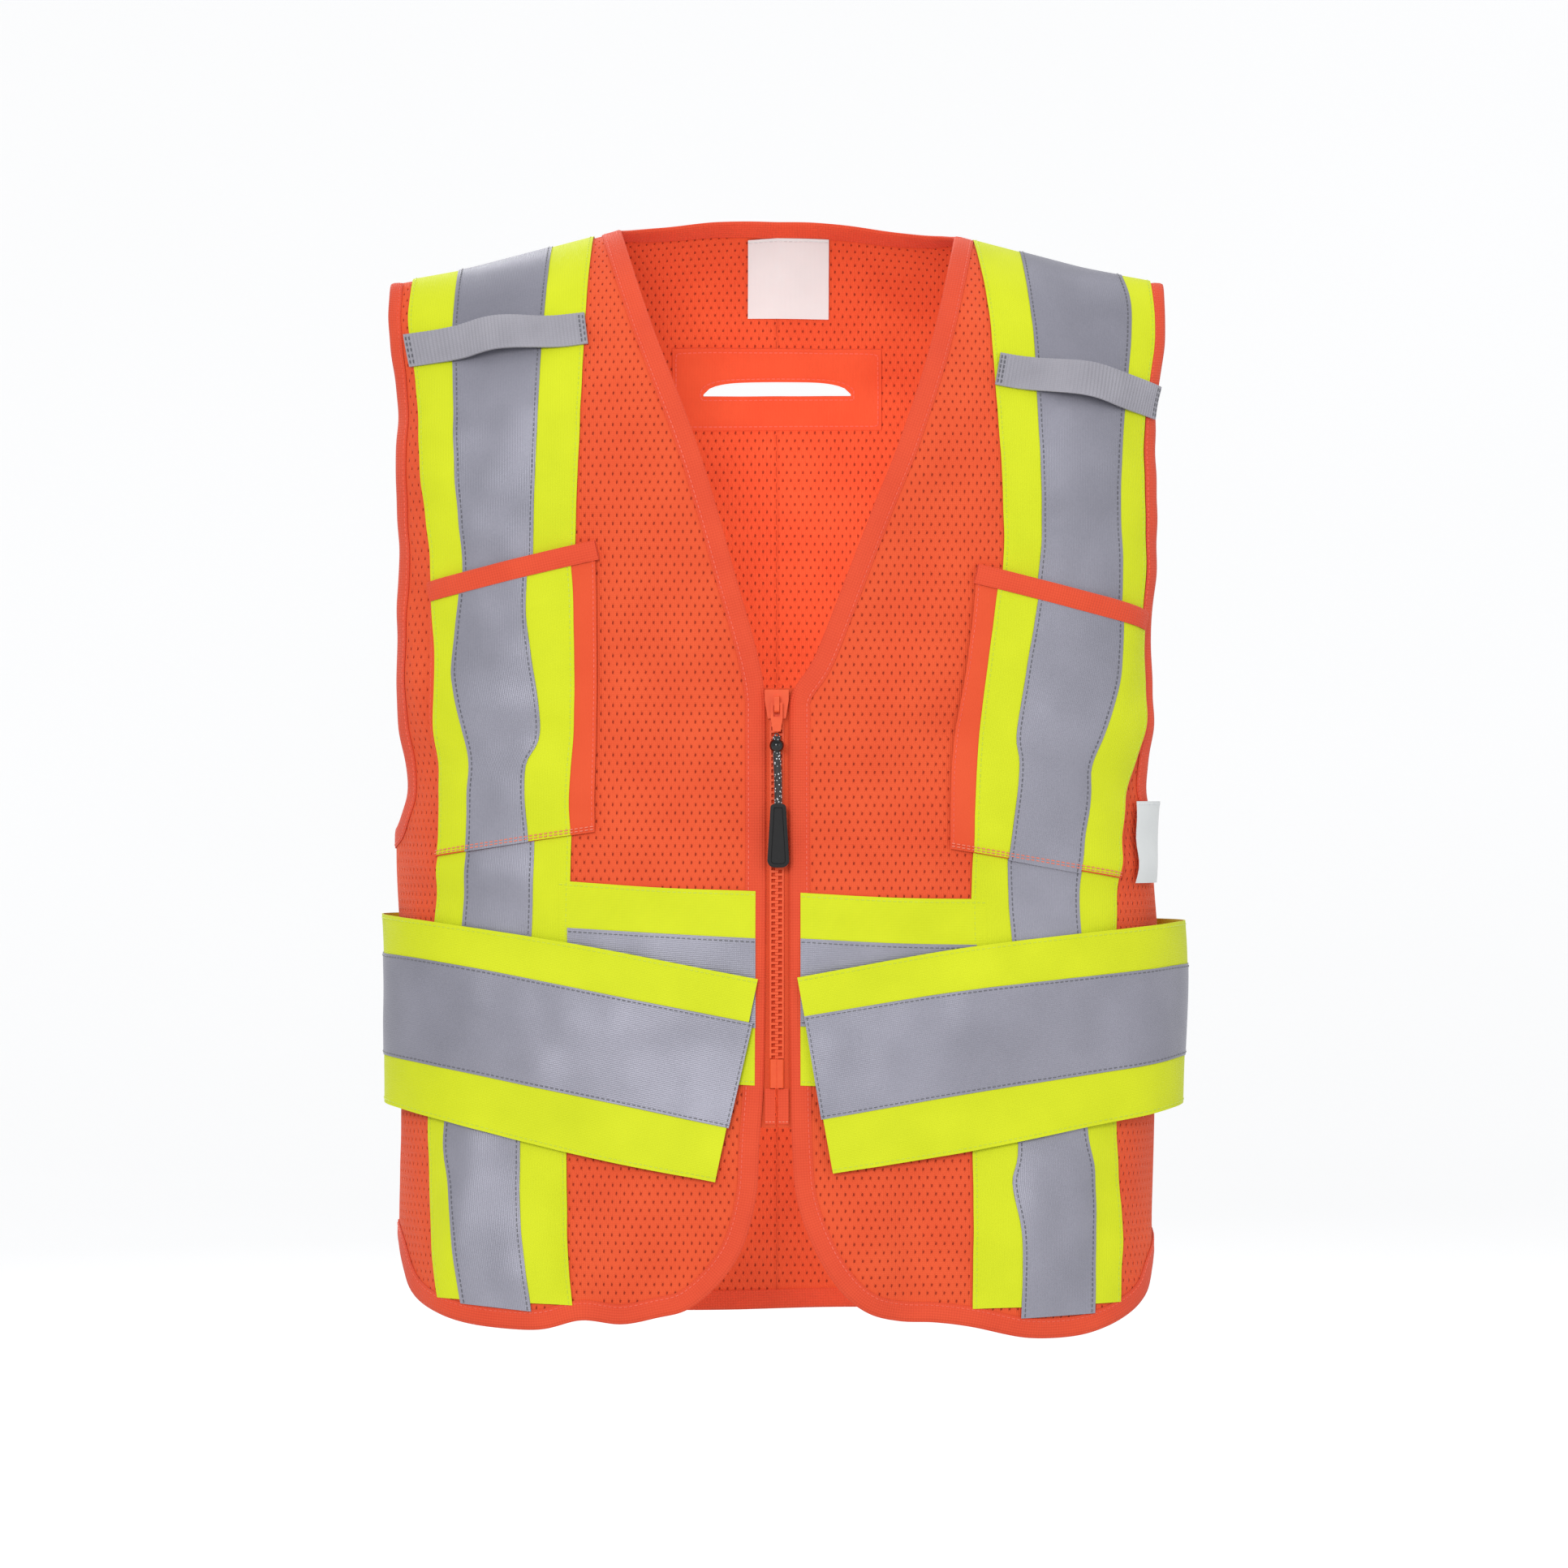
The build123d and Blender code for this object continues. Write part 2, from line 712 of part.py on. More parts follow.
# Pull cord, with a bead that slides on it and a moulded grip
hang = Plane.XZ.offset(pull_plane)
corners = [hang.from_local_coords((x, z)) for x, z in cord_points]
radii = []
for before, corner, after in zip(corners, corners[1:], corners[2:]):
    turn = (corner - before).get_angle(after - corner)
    shorter = min((corner - before).length, (after - corner).length)
    radii.append(0.45 * shorter / math.tan(math.radians(turn) / 2))
print("pull cord radii, mm:", [round(radius) for radius in radii])
with BuildPart() as pull_cord:
    with BuildLine():
        route = FilletPolyline(*corners, radius=radii)
    with BuildSketch(Plane(corners[0], z_dir=corners[1] - corners[0])):
        Circle(cord_radius)
    sweep(path=route)
print("pull cord length, mm:", round(route.length, 1),
      "volume share:", round(pull_cord.part.volume / (math.pi * cord_radius**2 * route.length), 4))
finish(pull_cord.part, "pull_cord")

with BuildPart() as pull_bead:
    with Locations((0, -pull_plane, bead_middle)):
        Sphere(bead_radius)
        Cylinder(cord_radius + layer_gap, 4 * bead_radius, mode=Mode.SUBTRACT)
finish(pull_bead.part, "pull_bead")

with BuildPart() as pull_grip:
    with BuildSketch(Plane.XZ.offset(pull_plane - grip_thickness / 2)):
        with BuildLine():
            top, foot = grip_top_width / 2, grip_foot_width / 2
            grip_foot = grip_top - grip_length
            Polyline((grip_middle - top, grip_top), (grip_middle + top, grip_top),
                     (grip_middle + foot, grip_foot), (grip_middle - foot, grip_foot), close=True)
        make_face()
    extrude(amount=grip_thickness)
    fillet(pull_grip.edges(), grip_rounding)
finish(pull_grip.part, "pull_grip")
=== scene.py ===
"""High visibility mesh vest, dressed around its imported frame.

Cloth is laid out in two cloth coordinates: s, the distance round the body from the centre line,
and t, the distance up the cloth from the hem datum. Below the chest line t is the height itself.
Lengths in this script are millimetres until a mesh is made.
"""
import math

import bmesh
import bpy
import mathutils
import numpy as np
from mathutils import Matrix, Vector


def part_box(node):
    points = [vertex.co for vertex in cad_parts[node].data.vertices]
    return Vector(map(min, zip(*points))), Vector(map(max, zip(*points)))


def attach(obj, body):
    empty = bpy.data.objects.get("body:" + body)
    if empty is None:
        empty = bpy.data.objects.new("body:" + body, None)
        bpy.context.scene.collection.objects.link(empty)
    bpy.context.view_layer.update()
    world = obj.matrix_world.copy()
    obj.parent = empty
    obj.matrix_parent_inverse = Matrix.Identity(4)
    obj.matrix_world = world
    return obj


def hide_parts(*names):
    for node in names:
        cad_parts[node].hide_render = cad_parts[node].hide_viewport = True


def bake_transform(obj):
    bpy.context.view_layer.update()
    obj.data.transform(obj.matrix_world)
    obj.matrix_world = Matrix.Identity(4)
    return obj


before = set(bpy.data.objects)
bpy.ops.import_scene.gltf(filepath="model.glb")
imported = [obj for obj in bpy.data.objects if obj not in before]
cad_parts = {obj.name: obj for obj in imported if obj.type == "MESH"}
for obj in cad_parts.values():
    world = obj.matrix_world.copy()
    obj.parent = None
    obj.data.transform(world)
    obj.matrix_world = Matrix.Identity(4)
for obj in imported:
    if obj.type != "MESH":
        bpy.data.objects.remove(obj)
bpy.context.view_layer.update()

MM = 0.001

# ------------------------------------------------------------------ body shape, from the frame
MESH_LIFT = 1.0
SIDE_RADIUS = 80.0
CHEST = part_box("back_panel")[1].z * 1000
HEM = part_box("back_panel")[0].z * 1000
HALF_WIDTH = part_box("back_panel")[1].x * 1000 - MESH_LIFT
FRONT_DEPTH = -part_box("front_panel_left")[0].y * 1000 - MESH_LIFT
BACK_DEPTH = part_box("back_panel")[1].y * 1000 - MESH_LIFT
NECK_HALF = 98.0
SHOULDER_SLOPE = 0.26
COLLAR_RISE = 9.0
SIDE_CENTRE = HALF_WIDTH - SIDE_RADIUS


def wide_radius(depth):
    return (SIDE_CENTRE**2 + depth**2 - SIDE_RADIUS**2) / (2 * (depth - SIDE_RADIUS))


def side_turn(depth):
    return math.atan2(SIDE_CENTRE, wide_radius(depth) - depth)


def quarter_length(depth):
    """Distance round the body from the centre line to the side."""
    return wide_radius(depth) * side_turn(depth) + SIDE_RADIUS * (math.pi / 2 - side_turn(depth))


FRONT_SIDE = quarter_length(FRONT_DEPTH)
BACK_SIDE = quarter_length(BACK_DEPTH)


def round_body(s, depth):
    """x and depth on the plan oval at a distance round the body."""
    radius, turn = wide_radius(depth), side_turn(depth)
    flat = np.abs(s) / radius
    tight = turn + (np.abs(s) - radius * turn) / SIDE_RADIUS
    on_flat = np.abs(s) < radius * turn
    x = np.where(on_flat, radius * np.sin(flat), SIDE_CENTRE + SIDE_RADIUS * np.sin(tight))
    y = np.where(on_flat, radius * np.cos(flat) - (radius - depth), SIDE_RADIUS * np.cos(tight))
    return np.sign(s) * x, y


def ridge(x):
    """Height of the shoulder line over the chest line."""
    collar = COLLAR_RISE * np.maximum(0, 1 - (x / NECK_HALF) ** 2)
    return -CHEST - SHOULDER_SLOPE * (np.abs(x) - NECK_HALF) + collar


def arch_table(x, y):
    """Cloth length up the arch from the chest line, at even turns, for each column."""
    turns = np.linspace(0, 2.2, 70)
    speed = np.hypot(y[..., None] * np.sin(turns), ridge(x)[..., None] * np.cos(turns))
    steps = (speed[..., 1:] + speed[..., :-1]) / 2 * np.diff(turns)
    return turns, np.concatenate([np.zeros(x.shape + (1,)), np.cumsum(steps, axis=-1)], axis=-1)


def base(s, t, back):
    """Point of the undraped body for cloth coordinates."""
    depth = BACK_DEPTH if back else FRONT_DEPTH
    x, y = round_body(s, depth)
    z = np.array(t, float)
    up = np.maximum(t - CHEST, 0)
    over = t > CHEST
    if over.any():
        turns, lengths = arch_table(x[over], np.maximum(y[over], 1.0))
        rise = up[over]
        index = np.clip((lengths < rise[:, None]).sum(1), 1, len(turns) - 1)
        rows = np.arange(len(rise))
        low, high = lengths[rows, index - 1], lengths[rows, index]
        turn = turns[index - 1] + (rise - low) / (high - low) * (turns[index] - turns[index - 1])
        z[over] = CHEST + ridge(x[over]) * np.sin(turn)
        y[over] = y[over] * np.cos(turn)
    x = x + np.sign(x) * arm_flare(np.abs(x), z)
    return np.stack([x, y if back else -y, z], -1)


def smooth(value):
    """Soft step from 0 to 1."""
    value = np.clip(value, 0, 1)
    return value * value * (3 - 2 * value)


def arm_flare(x, z):
    """How far the stiff armhole edges and shoulder corners stand out past the body."""
    edge = smooth((x - 180) / 45)
    return edge * (7 * smooth((z + 345) / 60) + 8 * smooth((z + 120) / 70))


def ridge_height(x):
    return CHEST + float(ridge(np.array(float(x))))


def cloth_from_view(x, z, back=False):
    """Cloth coordinates of a place on the body seen from straight in front."""
    x, z = np.asarray(x, float), np.asarray(z, float)
    depth = BACK_DEPTH if back else FRONT_DEPTH
    radius, turn = wide_radius(depth), side_turn(depth)
    edge = radius * math.sin(turn)
    ax = np.clip(np.abs(x), 0, HALF_WIDTH - 1e-6)
    tight = np.arcsin(np.clip((ax - SIDE_CENTRE) / SIDE_RADIUS, -1, 1))
    s = np.where(ax < edge, radius * np.arcsin(np.clip(ax / radius, 0, 1)),
                 radius * turn + SIDE_RADIUS * (tight - turn))
    t = np.array(z, float)
    over = z > CHEST
    if over.any():
        bx, by = round_body(s[over], depth)
        turns, lengths = arch_table(bx, np.maximum(by, 1.0))
        want = np.arcsin(np.clip((z[over] - CHEST) / ridge(bx), 0, 1))
        t[over] = CHEST + np.array([np.interp(w, turns, row) for w, row in zip(want, lengths)])
    return np.sign(x) * s, t


# ------------------------------------------------------------------ how the cloth hangs
# Soft folds: from and to, in cloth coordinates, then half width and height
FRONT_FOLDS = [
    ((-250, -330), (-120, -300), 15, -3.5), ((-250, -376), (-130, -392), 12, 3.0),
    ((-100, -130), (-40, -300), 22, 2.5), ((-90, -300), (-30, -380), 20, -2.0),
    ((-180, -530), (-205, -650), 15, 4.0), ((-145, -560), (-130, -660), 13, -3.5),
    ((-85, -560), (-98, -655), 16, 4.0), ((-45, -540), (-60, -650), 12, -2.5),
    ((250, -335), (130, -322), 17, -3.0), ((250, -384), (150, -376), 12, 3.0),
    ((100, -140), (45, -300), 22, -2.5), ((100, -250), (40, -360), 20, 2.2),
    ((160, -540), (150, -665), 16, 4.0), ((205, -540), (190, -650), 14, -3.5),
    ((90, -550), (80, -655), 15, -3.0), ((55, -560), (62, -650), 12, 3.0),
    ((-190, -60), (-180, -170), 18, -2.5), ((190, -70), (175, -190), 18, 2.5),
    ((-235, -200), (-215, -300), 14, 3.0), ((238, -215), (222, -310), 14, -3.0),
]
BACK_FOLDS = [
    ((-150, -150), (-60, -330), 26, 3.5), ((150, -140), (70, -330), 26, 3.5),
    ((-40, -120), (-30, -380), 24, -3.0), ((40, -130), (35, -390), 24, 2.5),
    ((-220, -300), (-120, -380), 18, -3.0), ((220, -300), (120, -385), 18, 3.0),
    ((-120, -540), (-140, -655), 18, 4.0), ((-20, -540), (-10, -655), 20, -3.5),
    ((90, -540), (100, -655), 18, 4.0), ((180, -540), (190, -655), 16, -3.5),
]
WAVES = 9


def make_waves(seed, shortest, longest):
    """Directions, lengths and starts of a few ripples."""
    draw = np.random.default_rng(seed)
    length = draw.uniform(shortest, longest, WAVES)
    angle = draw.uniform(0, math.pi, WAVES)
    start = draw.uniform(0, 2 * math.pi, WAVES)
    return [(2 * math.pi / l * math.cos(a), 2 * math.pi / l * math.sin(a), p)
            for l, a, p in zip(length, angle, start)]


LONG_WAVES = make_waves(11, 90, 220)
SHORT_WAVES = make_waves(12, 22, 55)
SIDE_WAVES = make_waves(13, 120, 260)


def ripple(waves, s, t):
    return sum(np.sin(a * s + b * t + p) for a, b, p in waves) / math.sqrt(len(waves))


def fold_lift(s, t, back):
    """How far the soft folds lift the cloth."""
    lift = 1.3 * ripple(LONG_WAVES, s + 900 * back, t) + 0.35 * ripple(SHORT_WAVES, s + 900 * back, t)
    for (s1, t1), (s2, t2), width, height in (BACK_FOLDS if back else FRONT_FOLDS):
        run = np.array([s2 - s1, t2 - t1], float)
        length = np.hypot(*run)
        run /= length
        along = ((s - s1) * run[0] + (t - t1) * run[1]) / length
        across = -(s - s1) * run[1] + (t - t1) * run[0]
        lift = lift + height * np.exp(-(across / width) ** 2) * smooth(1.25 - np.abs(along - 0.5) * 2)
    return lift


def hang(s, t, here, back):
    """Distance of the cloth from the body; front and back agree at the side and on the shoulder."""
    near_seam = 1 - smooth(np.abs(here[:, 1]) / 30)
    calm = 1 - 0.7 * smooth((t - CHEST - 60) / 120)
    middle = 0 if back else np.exp(-(s / 16) ** 2)
    shared = 2.2 * ripple(SIDE_WAVES, 500 * np.sign(s), here[:, 2]) * (t < CHEST)
    return fold_lift(s, t, back) * calm * (1 - middle) * (1 - near_seam) + shared * near_seam


def value_of(lift, s, t):
    return lift(s, t) if callable(lift) else np.zeros_like(s) + lift


def place(s, t, lift, back=False):
    """Points of the draped cloth, a lift away from its inner face, in metres."""
    s, t = np.broadcast_arrays(np.asarray(s, float), np.asarray(t, float))
    shape = s.shape
    away = np.broadcast_to(value_of(lift, s, t), shape).ravel()
    s, t = s.ravel(), t.ravel()
    here = base(s, t, back)
    across = base(s + 0.4, t, back) - base(s - 0.4, t, back)
    up = base(s, t + 0.4, back) - base(s, t - 0.4, back)
    normal = np.cross(up, across) if back else np.cross(across, up)
    normal /= np.linalg.norm(normal, axis=1)[:, None]
    stand = away + hang(s, t, here, back)
    return ((here + normal * stand[:, None]) * MM).reshape(shape + (3,))


# ------------------------------------------------------------------ mesh making
CUTS = {}


def new_piece(name, points, faces, material, uv=None, is_smooth=True):
    """Object from points in metres and faces; uv is one pair a point, in metres."""
    mesh = bpy.data.meshes.new(name)
    mesh.from_pydata(np.asarray(points).reshape(-1, 3).tolist(), [], faces)
    mesh.materials.append(material)
    if uv is not None:
        layer = mesh.uv_layers.new(name="UVMap")
        corners = np.empty(len(mesh.loops), np.int32)
        mesh.loops.foreach_get("vertex_index", corners)
        layer.data.foreach_set("uv", np.asarray(uv, np.float32).reshape(-1, 2)[corners].ravel())
    mesh.polygons.foreach_set("use_smooth", [is_smooth] * len(mesh.polygons))
    piece = bpy.data.objects.new(name, mesh)
    bpy.context.scene.collection.objects.link(piece)
    return piece


def face_outwards(piece):
    bm = bmesh.new()
    bm.from_mesh(piece.data)
    bmesh.ops.recalc_face_normals(bm, faces=bm.faces)
    bm.to_mesh(piece.data)
    bm.free()


def cell_areas(s, t):
    """Flat areas of the cells of a grid of cloth coordinates, in square metres."""
    ds, dt = s[1:, 1:] - s[:-1, :-1], t[1:, 1:] - t[:-1, :-1]
    es, et = s[1:, :-1] - s[:-1, 1:], t[1:, :-1] - t[:-1, 1:]
    return np.abs(ds * et - dt * es) / 2 * MM * MM


def grid_uv(s, t):
    """Cloth lengths along the rows and columns of a grid."""
    rows, columns = s.shape
    u = np.concatenate([np.zeros((rows, 1)), np.cumsum(np.hypot(np.diff(s), np.diff(t)), 1)], 1)
    steps = np.hypot(np.diff(s, axis=0), np.diff(t, axis=0))
    v = np.concatenate([np.zeros((1, columns)), np.cumsum(steps, 0)], 0)
    return np.stack([u - u.mean(1)[:, None], v], -1)


def closed_sheet(name, s, t, lift, thickness, material, back=False):
    """Thin closed sheet over a grid of cloth coordinates; the grid is kept under its name."""
    rows, columns = s.shape
    low = value_of(lift, s, t)
    outer = place(s, t, low + thickness, back).reshape(-1, 3)
    inner = place(s, t, low, back).reshape(-1, 3)
    count = rows * columns
    index = np.arange(count).reshape(rows, columns)
    quads = np.stack([index[:-1, :-1], index[:-1, 1:], index[1:, 1:], index[1:, :-1]], -1).reshape(-1, 4)
    rim = np.concatenate([index[0, :], index[1:, -1], index[-1, -2::-1], index[-2:0:-1, 0]])
    after = np.roll(rim, -1)
    sides = np.stack([rim, rim + count, after + count, after], -1)
    faces = np.concatenate([quads, quads[:, ::-1] + count, sides])
    if np.dot(np.cross(outer[columns] - outer[0], outer[1] - outer[0]), outer[0] - inner[0]) > 0:
        faces = faces[:, ::-1]
    uv = np.concatenate([grid_uv(s, t).reshape(-1, 2)] * 2) * MM
    CUTS[name] = (s, t)
    return new_piece(name, np.concatenate([outer, inner]), faces.tolist(), material, uv)


def curve_through(points, count):
    """Smooth line through given points, in even steps."""
    points = np.array(points, float)
    padded = np.vstack([2 * points[0] - points[1], points, 2 * points[-1] - points[-2]])
    samples = []
    for i in range(len(points) - 1):
        a, b, c, d = padded[i:i + 4]
        for f in np.linspace(0, 1, 24, endpoint=False):
            samples.append(0.5 * (2 * b + (c - a) * f + (2 * a - 5 * b + 4 * c - d) * f**2
                                  + (3 * b - a - 3 * c + d) * f**3))
    return even_steps(np.array(samples + [points[-1]]), count)


def even_steps(line, count):
    run = np.concatenate([[0], np.cumsum(np.linalg.norm(np.diff(line, axis=0), axis=1))])
    steps = np.linspace(0, run[-1], count)
    return np.stack([np.interp(steps, run, line[:, k]) for k in range(line.shape[1])], -1)


def line_length(line):
    return np.linalg.norm(np.diff(line, axis=0), axis=1).sum()


def seen(points, step=4.0, back=False, count=None):
    """Cloth coordinates along a smooth line given as seen from the front; None is the shoulder line."""
    points = [(x, ridge_height(x) if z is None else z) for x, z in points]
    line = curve_through(points, 20 * len(points))
    line = np.stack(cloth_from_view(line[:, 0], line[:, 1], back), -1)
    return even_steps(line, count or max(6, int(line_length(line) / step)))


def between(first, second, columns):
    """Grid of cloth coordinates between two lines."""
    share = np.linspace(0, 1, columns)[None, :, None]
    grid = first[:, None] * (1 - share) + second[:, None] * share
    return grid[..., 0], grid[..., 1]


def strip(name, first, second, lift, thickness, material, back=False, step=4.0):
    """Flat tape between two lines seen from the front."""
    count = max(8, int(line_length(seen(first, back=back)) / step))
    a, b = seen(first, back=back, count=count), seen(second, back=back, count=count)
    width = np.linalg.norm(a - b, axis=1).mean()
    s, t = between(a, b, max(4, int(width / step)))
    return closed_sheet(name, s, t, lift, thickness, material, back)


def cut_line(name, column=None, row=None):
    """A column or a row of the grid that a cloth was cut to."""
    s, t = CUTS[name]
    return np.stack([s[:, column], t[:, column]], -1) if row is None else np.stack([s[row], t[row]], -1)


def inset_line(first, second, margin):
    """Line a margin inside the first of two lines."""
    gap = second - first
    return first + gap * (margin / np.linalg.norm(gap, axis=1))[:, None]


# Folded binding tape in section: distance in from the cloth's edge, and lift
BINDING_SECTION = [(11, 0.95), (11, 1.45), (8, 1.75), (3, 1.8), (0.2, 1.5), (-0.9, 0.5), (-0.6, -0.35),
                   (0.8, -0.95), (4, -1.15), (9, -1.1), (11, -0.8), (11, -0.3), (3, -0.2), (0.7, 0.35),
                   (3, 0.9)]


def outward_of(line):
    """Unit directions across a line in cloth coordinates, to its left."""
    run = np.gradient(line, axis=0)
    run /= np.linalg.norm(run, axis=1)[:, None]
    return np.stack([-run[:, 1], run[:, 0]], -1)


def edging(name, line, material, side=1, back=False, lift=0.0, section=BINDING_SECTION):
    """Folded tape along an edge; the cloth lies to the left of the line where side is 1."""
    across = outward_of(line) * side
    offsets, lifts = np.array(section).T
    s = line[:, 0][:, None] + across[:, 0][:, None] * offsets
    t = line[:, 1][:, None] + across[:, 1][:, None] * offsets
    low = value_of(lift, s, t)
    points = place(s, t, low + lifts, back)
    rows, columns = s.shape
    index = np.arange(rows * columns).reshape(rows, columns)
    after = np.roll(index, -1, axis=1)
    quads = np.stack([index[:-1], after[:-1], after[1:], index[1:]], -1).reshape(-1, 4)
    faces = quads.tolist() + [index[0, ::-1].tolist(), index[-1].tolist()]
    run = np.concatenate([[0], np.cumsum(np.linalg.norm(np.diff(line, axis=0), axis=1))])
    around = np.concatenate([[0], np.cumsum(np.hypot(np.diff(offsets), np.diff(lifts)))])
    uv = np.stack(np.broadcast_arrays(around[None, :], run[:, None]), -1) * MM
    piece = new_piece(name, points, faces, material, uv)
    face_outwards(piece)
    CUTS[name] = between(line, line + across * (max(offsets) * 2), 3)
    return piece


def stitches(name, lines, lift, material, back=False, pitch=3.1, dash=2.1, width=0.34, rise=0.45):
    """Rows of thread dashes along lines of cloth coordinates."""
    box = np.array([(a, b, c) for a in (-1, 1) for b in (-1, 1) for c in (0, 1)], float)
    corners = [(0, 1, 3, 2), (4, 6, 7, 5), (0, 4, 5, 1), (2, 3, 7, 6), (0, 2, 6, 4), (1, 5, 7, 3)]
    points, faces = [], []
    for line in lines:
        count = max(2, int(line_length(line) / pitch))
        spots = even_steps(line, count + 1)
        middle, run = (spots[1:] + spots[:-1]) / 2, np.diff(spots, axis=0)
        run /= np.linalg.norm(run, axis=1)[:, None]
        across = np.stack([-run[:, 1], run[:, 0]], -1)
        long = box[:, 0] * dash / 2 * (1 - 0.25 * box[:, 2])
        wide = box[:, 1] * width * (1 - 0.4 * box[:, 2])
        where = middle[:, None] + run[:, None] * long[None, :, None] + across[:, None] * wide[None, :, None]
        s, t = where[..., 0], where[..., 1]
        low = value_of(lift, s, t)
        start = sum(len(p) for p in points)
        points.append(place(s, t, low - 0.1 + box[:, 2] * rise, back).reshape(-1, 3))
        for k in range(len(middle)):
            faces.extend([[start + 8 * k + c for c in quad] for quad in corners])
    piece = new_piece(name, np.concatenate(points), faces, material, is_smooth=False)
    face_outwards(piece)
    return piece


# ------------------------------------------------------------------ materials
def linear(hex_colour):
    """Linear colour from an sRGB hex value."""
    channels = [int(hex_colour[i:i + 2], 16) / 255 for i in (0, 2, 4)]
    return [c / 12.92 if c <= 0.04045 else ((c + 0.055) / 1.055) ** 2.4 for c in channels] + [1.0]


def add_node(tree, kind, settings=None, inputs=None):
    """One node with its own settings; an input is a number, a colour or another node's socket."""
    node = tree.nodes.new(kind)
    for name, value in (settings or {}).items():
        setattr(node, name, value)
    for name, value in (inputs or {}).items():
        if isinstance(value, bpy.types.NodeSocket):
            tree.links.new(value, node.inputs[name])
        else:
            node.inputs[name].default_value = value
    return node


SPECULAR, DULL = "Specular IOR Level", 0.25


def start_material(name, roughness, shader_values=None):
    """Material with its shader; the caller links colour and bump."""
    material = bpy.data.materials.new(name)
    material.use_nodes = True
    tree = material.node_tree
    shader = tree.nodes["Principled BSDF"]
    shader.inputs["Roughness"].default_value = roughness
    for socket, value in (shader_values or {}).items():
        shader.inputs[socket].default_value = value
    return material, tree, shader


def finish_surface(tree, shader, share, dark, light, height=None, depth=0.0, strength=0.6):
    """Colours the surface from dark to light by a share, and raises it by a height."""
    colour = add_node(tree, "ShaderNodeMix", {"data_type": "RGBA"},
                      {0: share, 6: linear(dark), 7: linear(light)})
    tree.links.new(colour.outputs[2], shader.inputs["Base Color"])
    if height is not None:
        relief = add_node(tree, "ShaderNodeBump", None,
                          {"Height": height, "Distance": depth, "Strength": strength})
        tree.links.new(relief.outputs["Normal"], shader.inputs["Normal"])


def thread_pattern(tree, spacing, across=0.5):
    """Height of a plain weave on the cloth's own lengths, for a thread spacing in metres."""
    place_on_cloth = add_node(tree, "ShaderNodeTexCoord").outputs["UV"]
    split = add_node(tree, "ShaderNodeSeparateXYZ", None, {0: place_on_cloth})
    heights = []
    for axis, share in (("X", 1.0), ("Y", across)):
        turned = add_node(tree, "ShaderNodeMath", {"operation": "MULTIPLY"},
                          {0: split.outputs[axis], 1: 2 * math.pi / spacing})
        wave = add_node(tree, "ShaderNodeMath", {"operation": "SINE"}, {0: turned.outputs[0]})
        heights.append(add_node(tree, "ShaderNodeMath", {"operation": "MULTIPLY"},
                                {0: wave.outputs[0], 1: share}).outputs[0])
    both = add_node(tree, "ShaderNodeMath", {"operation": "ADD"}, {0: heights[0], 1: heights[1]})
    return both.outputs[0]


def blobs(tree, *sizes, detail=3.0):
    """Slow changes over the object, one for each blob size in metres."""
    spot = add_node(tree, "ShaderNodeTexCoord").outputs["Object"]
    return [add_node(tree, "ShaderNodeTexNoise", None, {"Vector": spot, "Scale": 1 / size, "Detail": detail})
            .outputs["Fac"] for size in sizes]


def cloth_material(name, dark, light, spacing, depth, roughness, sheen, across=0.5, patch=0.035):
    """Dyed woven cloth: threads in relief, with painted highlight on their crowns and painted shade between them,
    and faint cloudiness.
    """
    material, tree, shader = start_material(name, roughness, {"Sheen Weight": sheen, SPECULAR: DULL})
    threads = thread_pattern(tree, spacing, across)
    # Painted highlight and shade: the colour follows the threads' height, lighter on the crowns, darker between
    # them
    crown = add_node(tree, "ShaderNodeMapRange", None, {"Value": threads, "From Min": -1.5, "From Max": 1.5})
    [clouds] = blobs(tree, patch)
    # Colour share: the painted thread highlight plus random cloudiness
    share = add_node(tree, "ShaderNodeMath", {"operation": "MULTIPLY_ADD"},
                     {0: crown.outputs[0], 1: 0.35, 2: -0.1})
    total = add_node(tree, "ShaderNodeMath", {"operation": "MULTIPLY_ADD", "use_clamp": True},
                     {0: clouds, 1: 0.9, 2: share.outputs[0]})
    finish_surface(tree, shader, total.outputs[0], dark, light, threads, depth)
    return material


# Knitted polyester mesh, dyed fluorescent orange: matt, soft sheen on its yarns
knitted_mesh = cloth_material("polyester_mesh_knitted", "DF4B26", "F06034", 0.0012, 0.00012, 0.75, 0.06)
# Dark sheet of painted shade inside the mesh, seen through the holes so that they look shadowed
hole_shade_sheet_cloth = cloth_material("painted_hole_shade_sheet", "8E2A14", "A8381E", 0.0012, 0.00005, 0.8, 0.0)
# Plain polyester lining of the pocket border: smoother than the mesh
smooth_lining = cloth_material("polyester_tricot_brushed", "DC4A25", "EC5B32", 0.0007, 0.00005, 0.7, 0.08)
# Folded binding tape: close ribs across its width
binding_tape = cloth_material("polyester_binding_woven", "D64429", "EE5834", 0.0016, 0.00016, 0.7, 0.08, 1.0)
# Fluorescent lime polyester tape: flat, bright, close plain weave
lime_tape = cloth_material("polyester_tape_fluorescent", "C8D414", "DDE71F", 0.0010, 0.00008, 0.65, 0.05)
# Grey polyester webbing: its ribs are in the mesh
grey_webbing = cloth_material("polyester_webbing_ribbed", "88868E", "B2B0B8", 0.0008, 0.00010, 0.7, 0.1)
# Bleached satin label: smooth, faint weave
white_satin = cloth_material("polyester_satin_bleached", "D9DCDB", "EAEDEB", 0.0006, 0.00003, 0.45, 0.05)
# Orange zip tape: close weave
zip_weave = cloth_material("polyester_zip_tape_woven", "D24727", "E85B30", 0.0009, 0.00010, 0.7, 0.06, 1.0)
# Black hook fastener: rough little hooks
hook_cloth = cloth_material("nylon_hook_tape_woven", "3A3B3A", "6B6C66", 0.0018, 0.00040, 0.7, 0.1, 1.0)


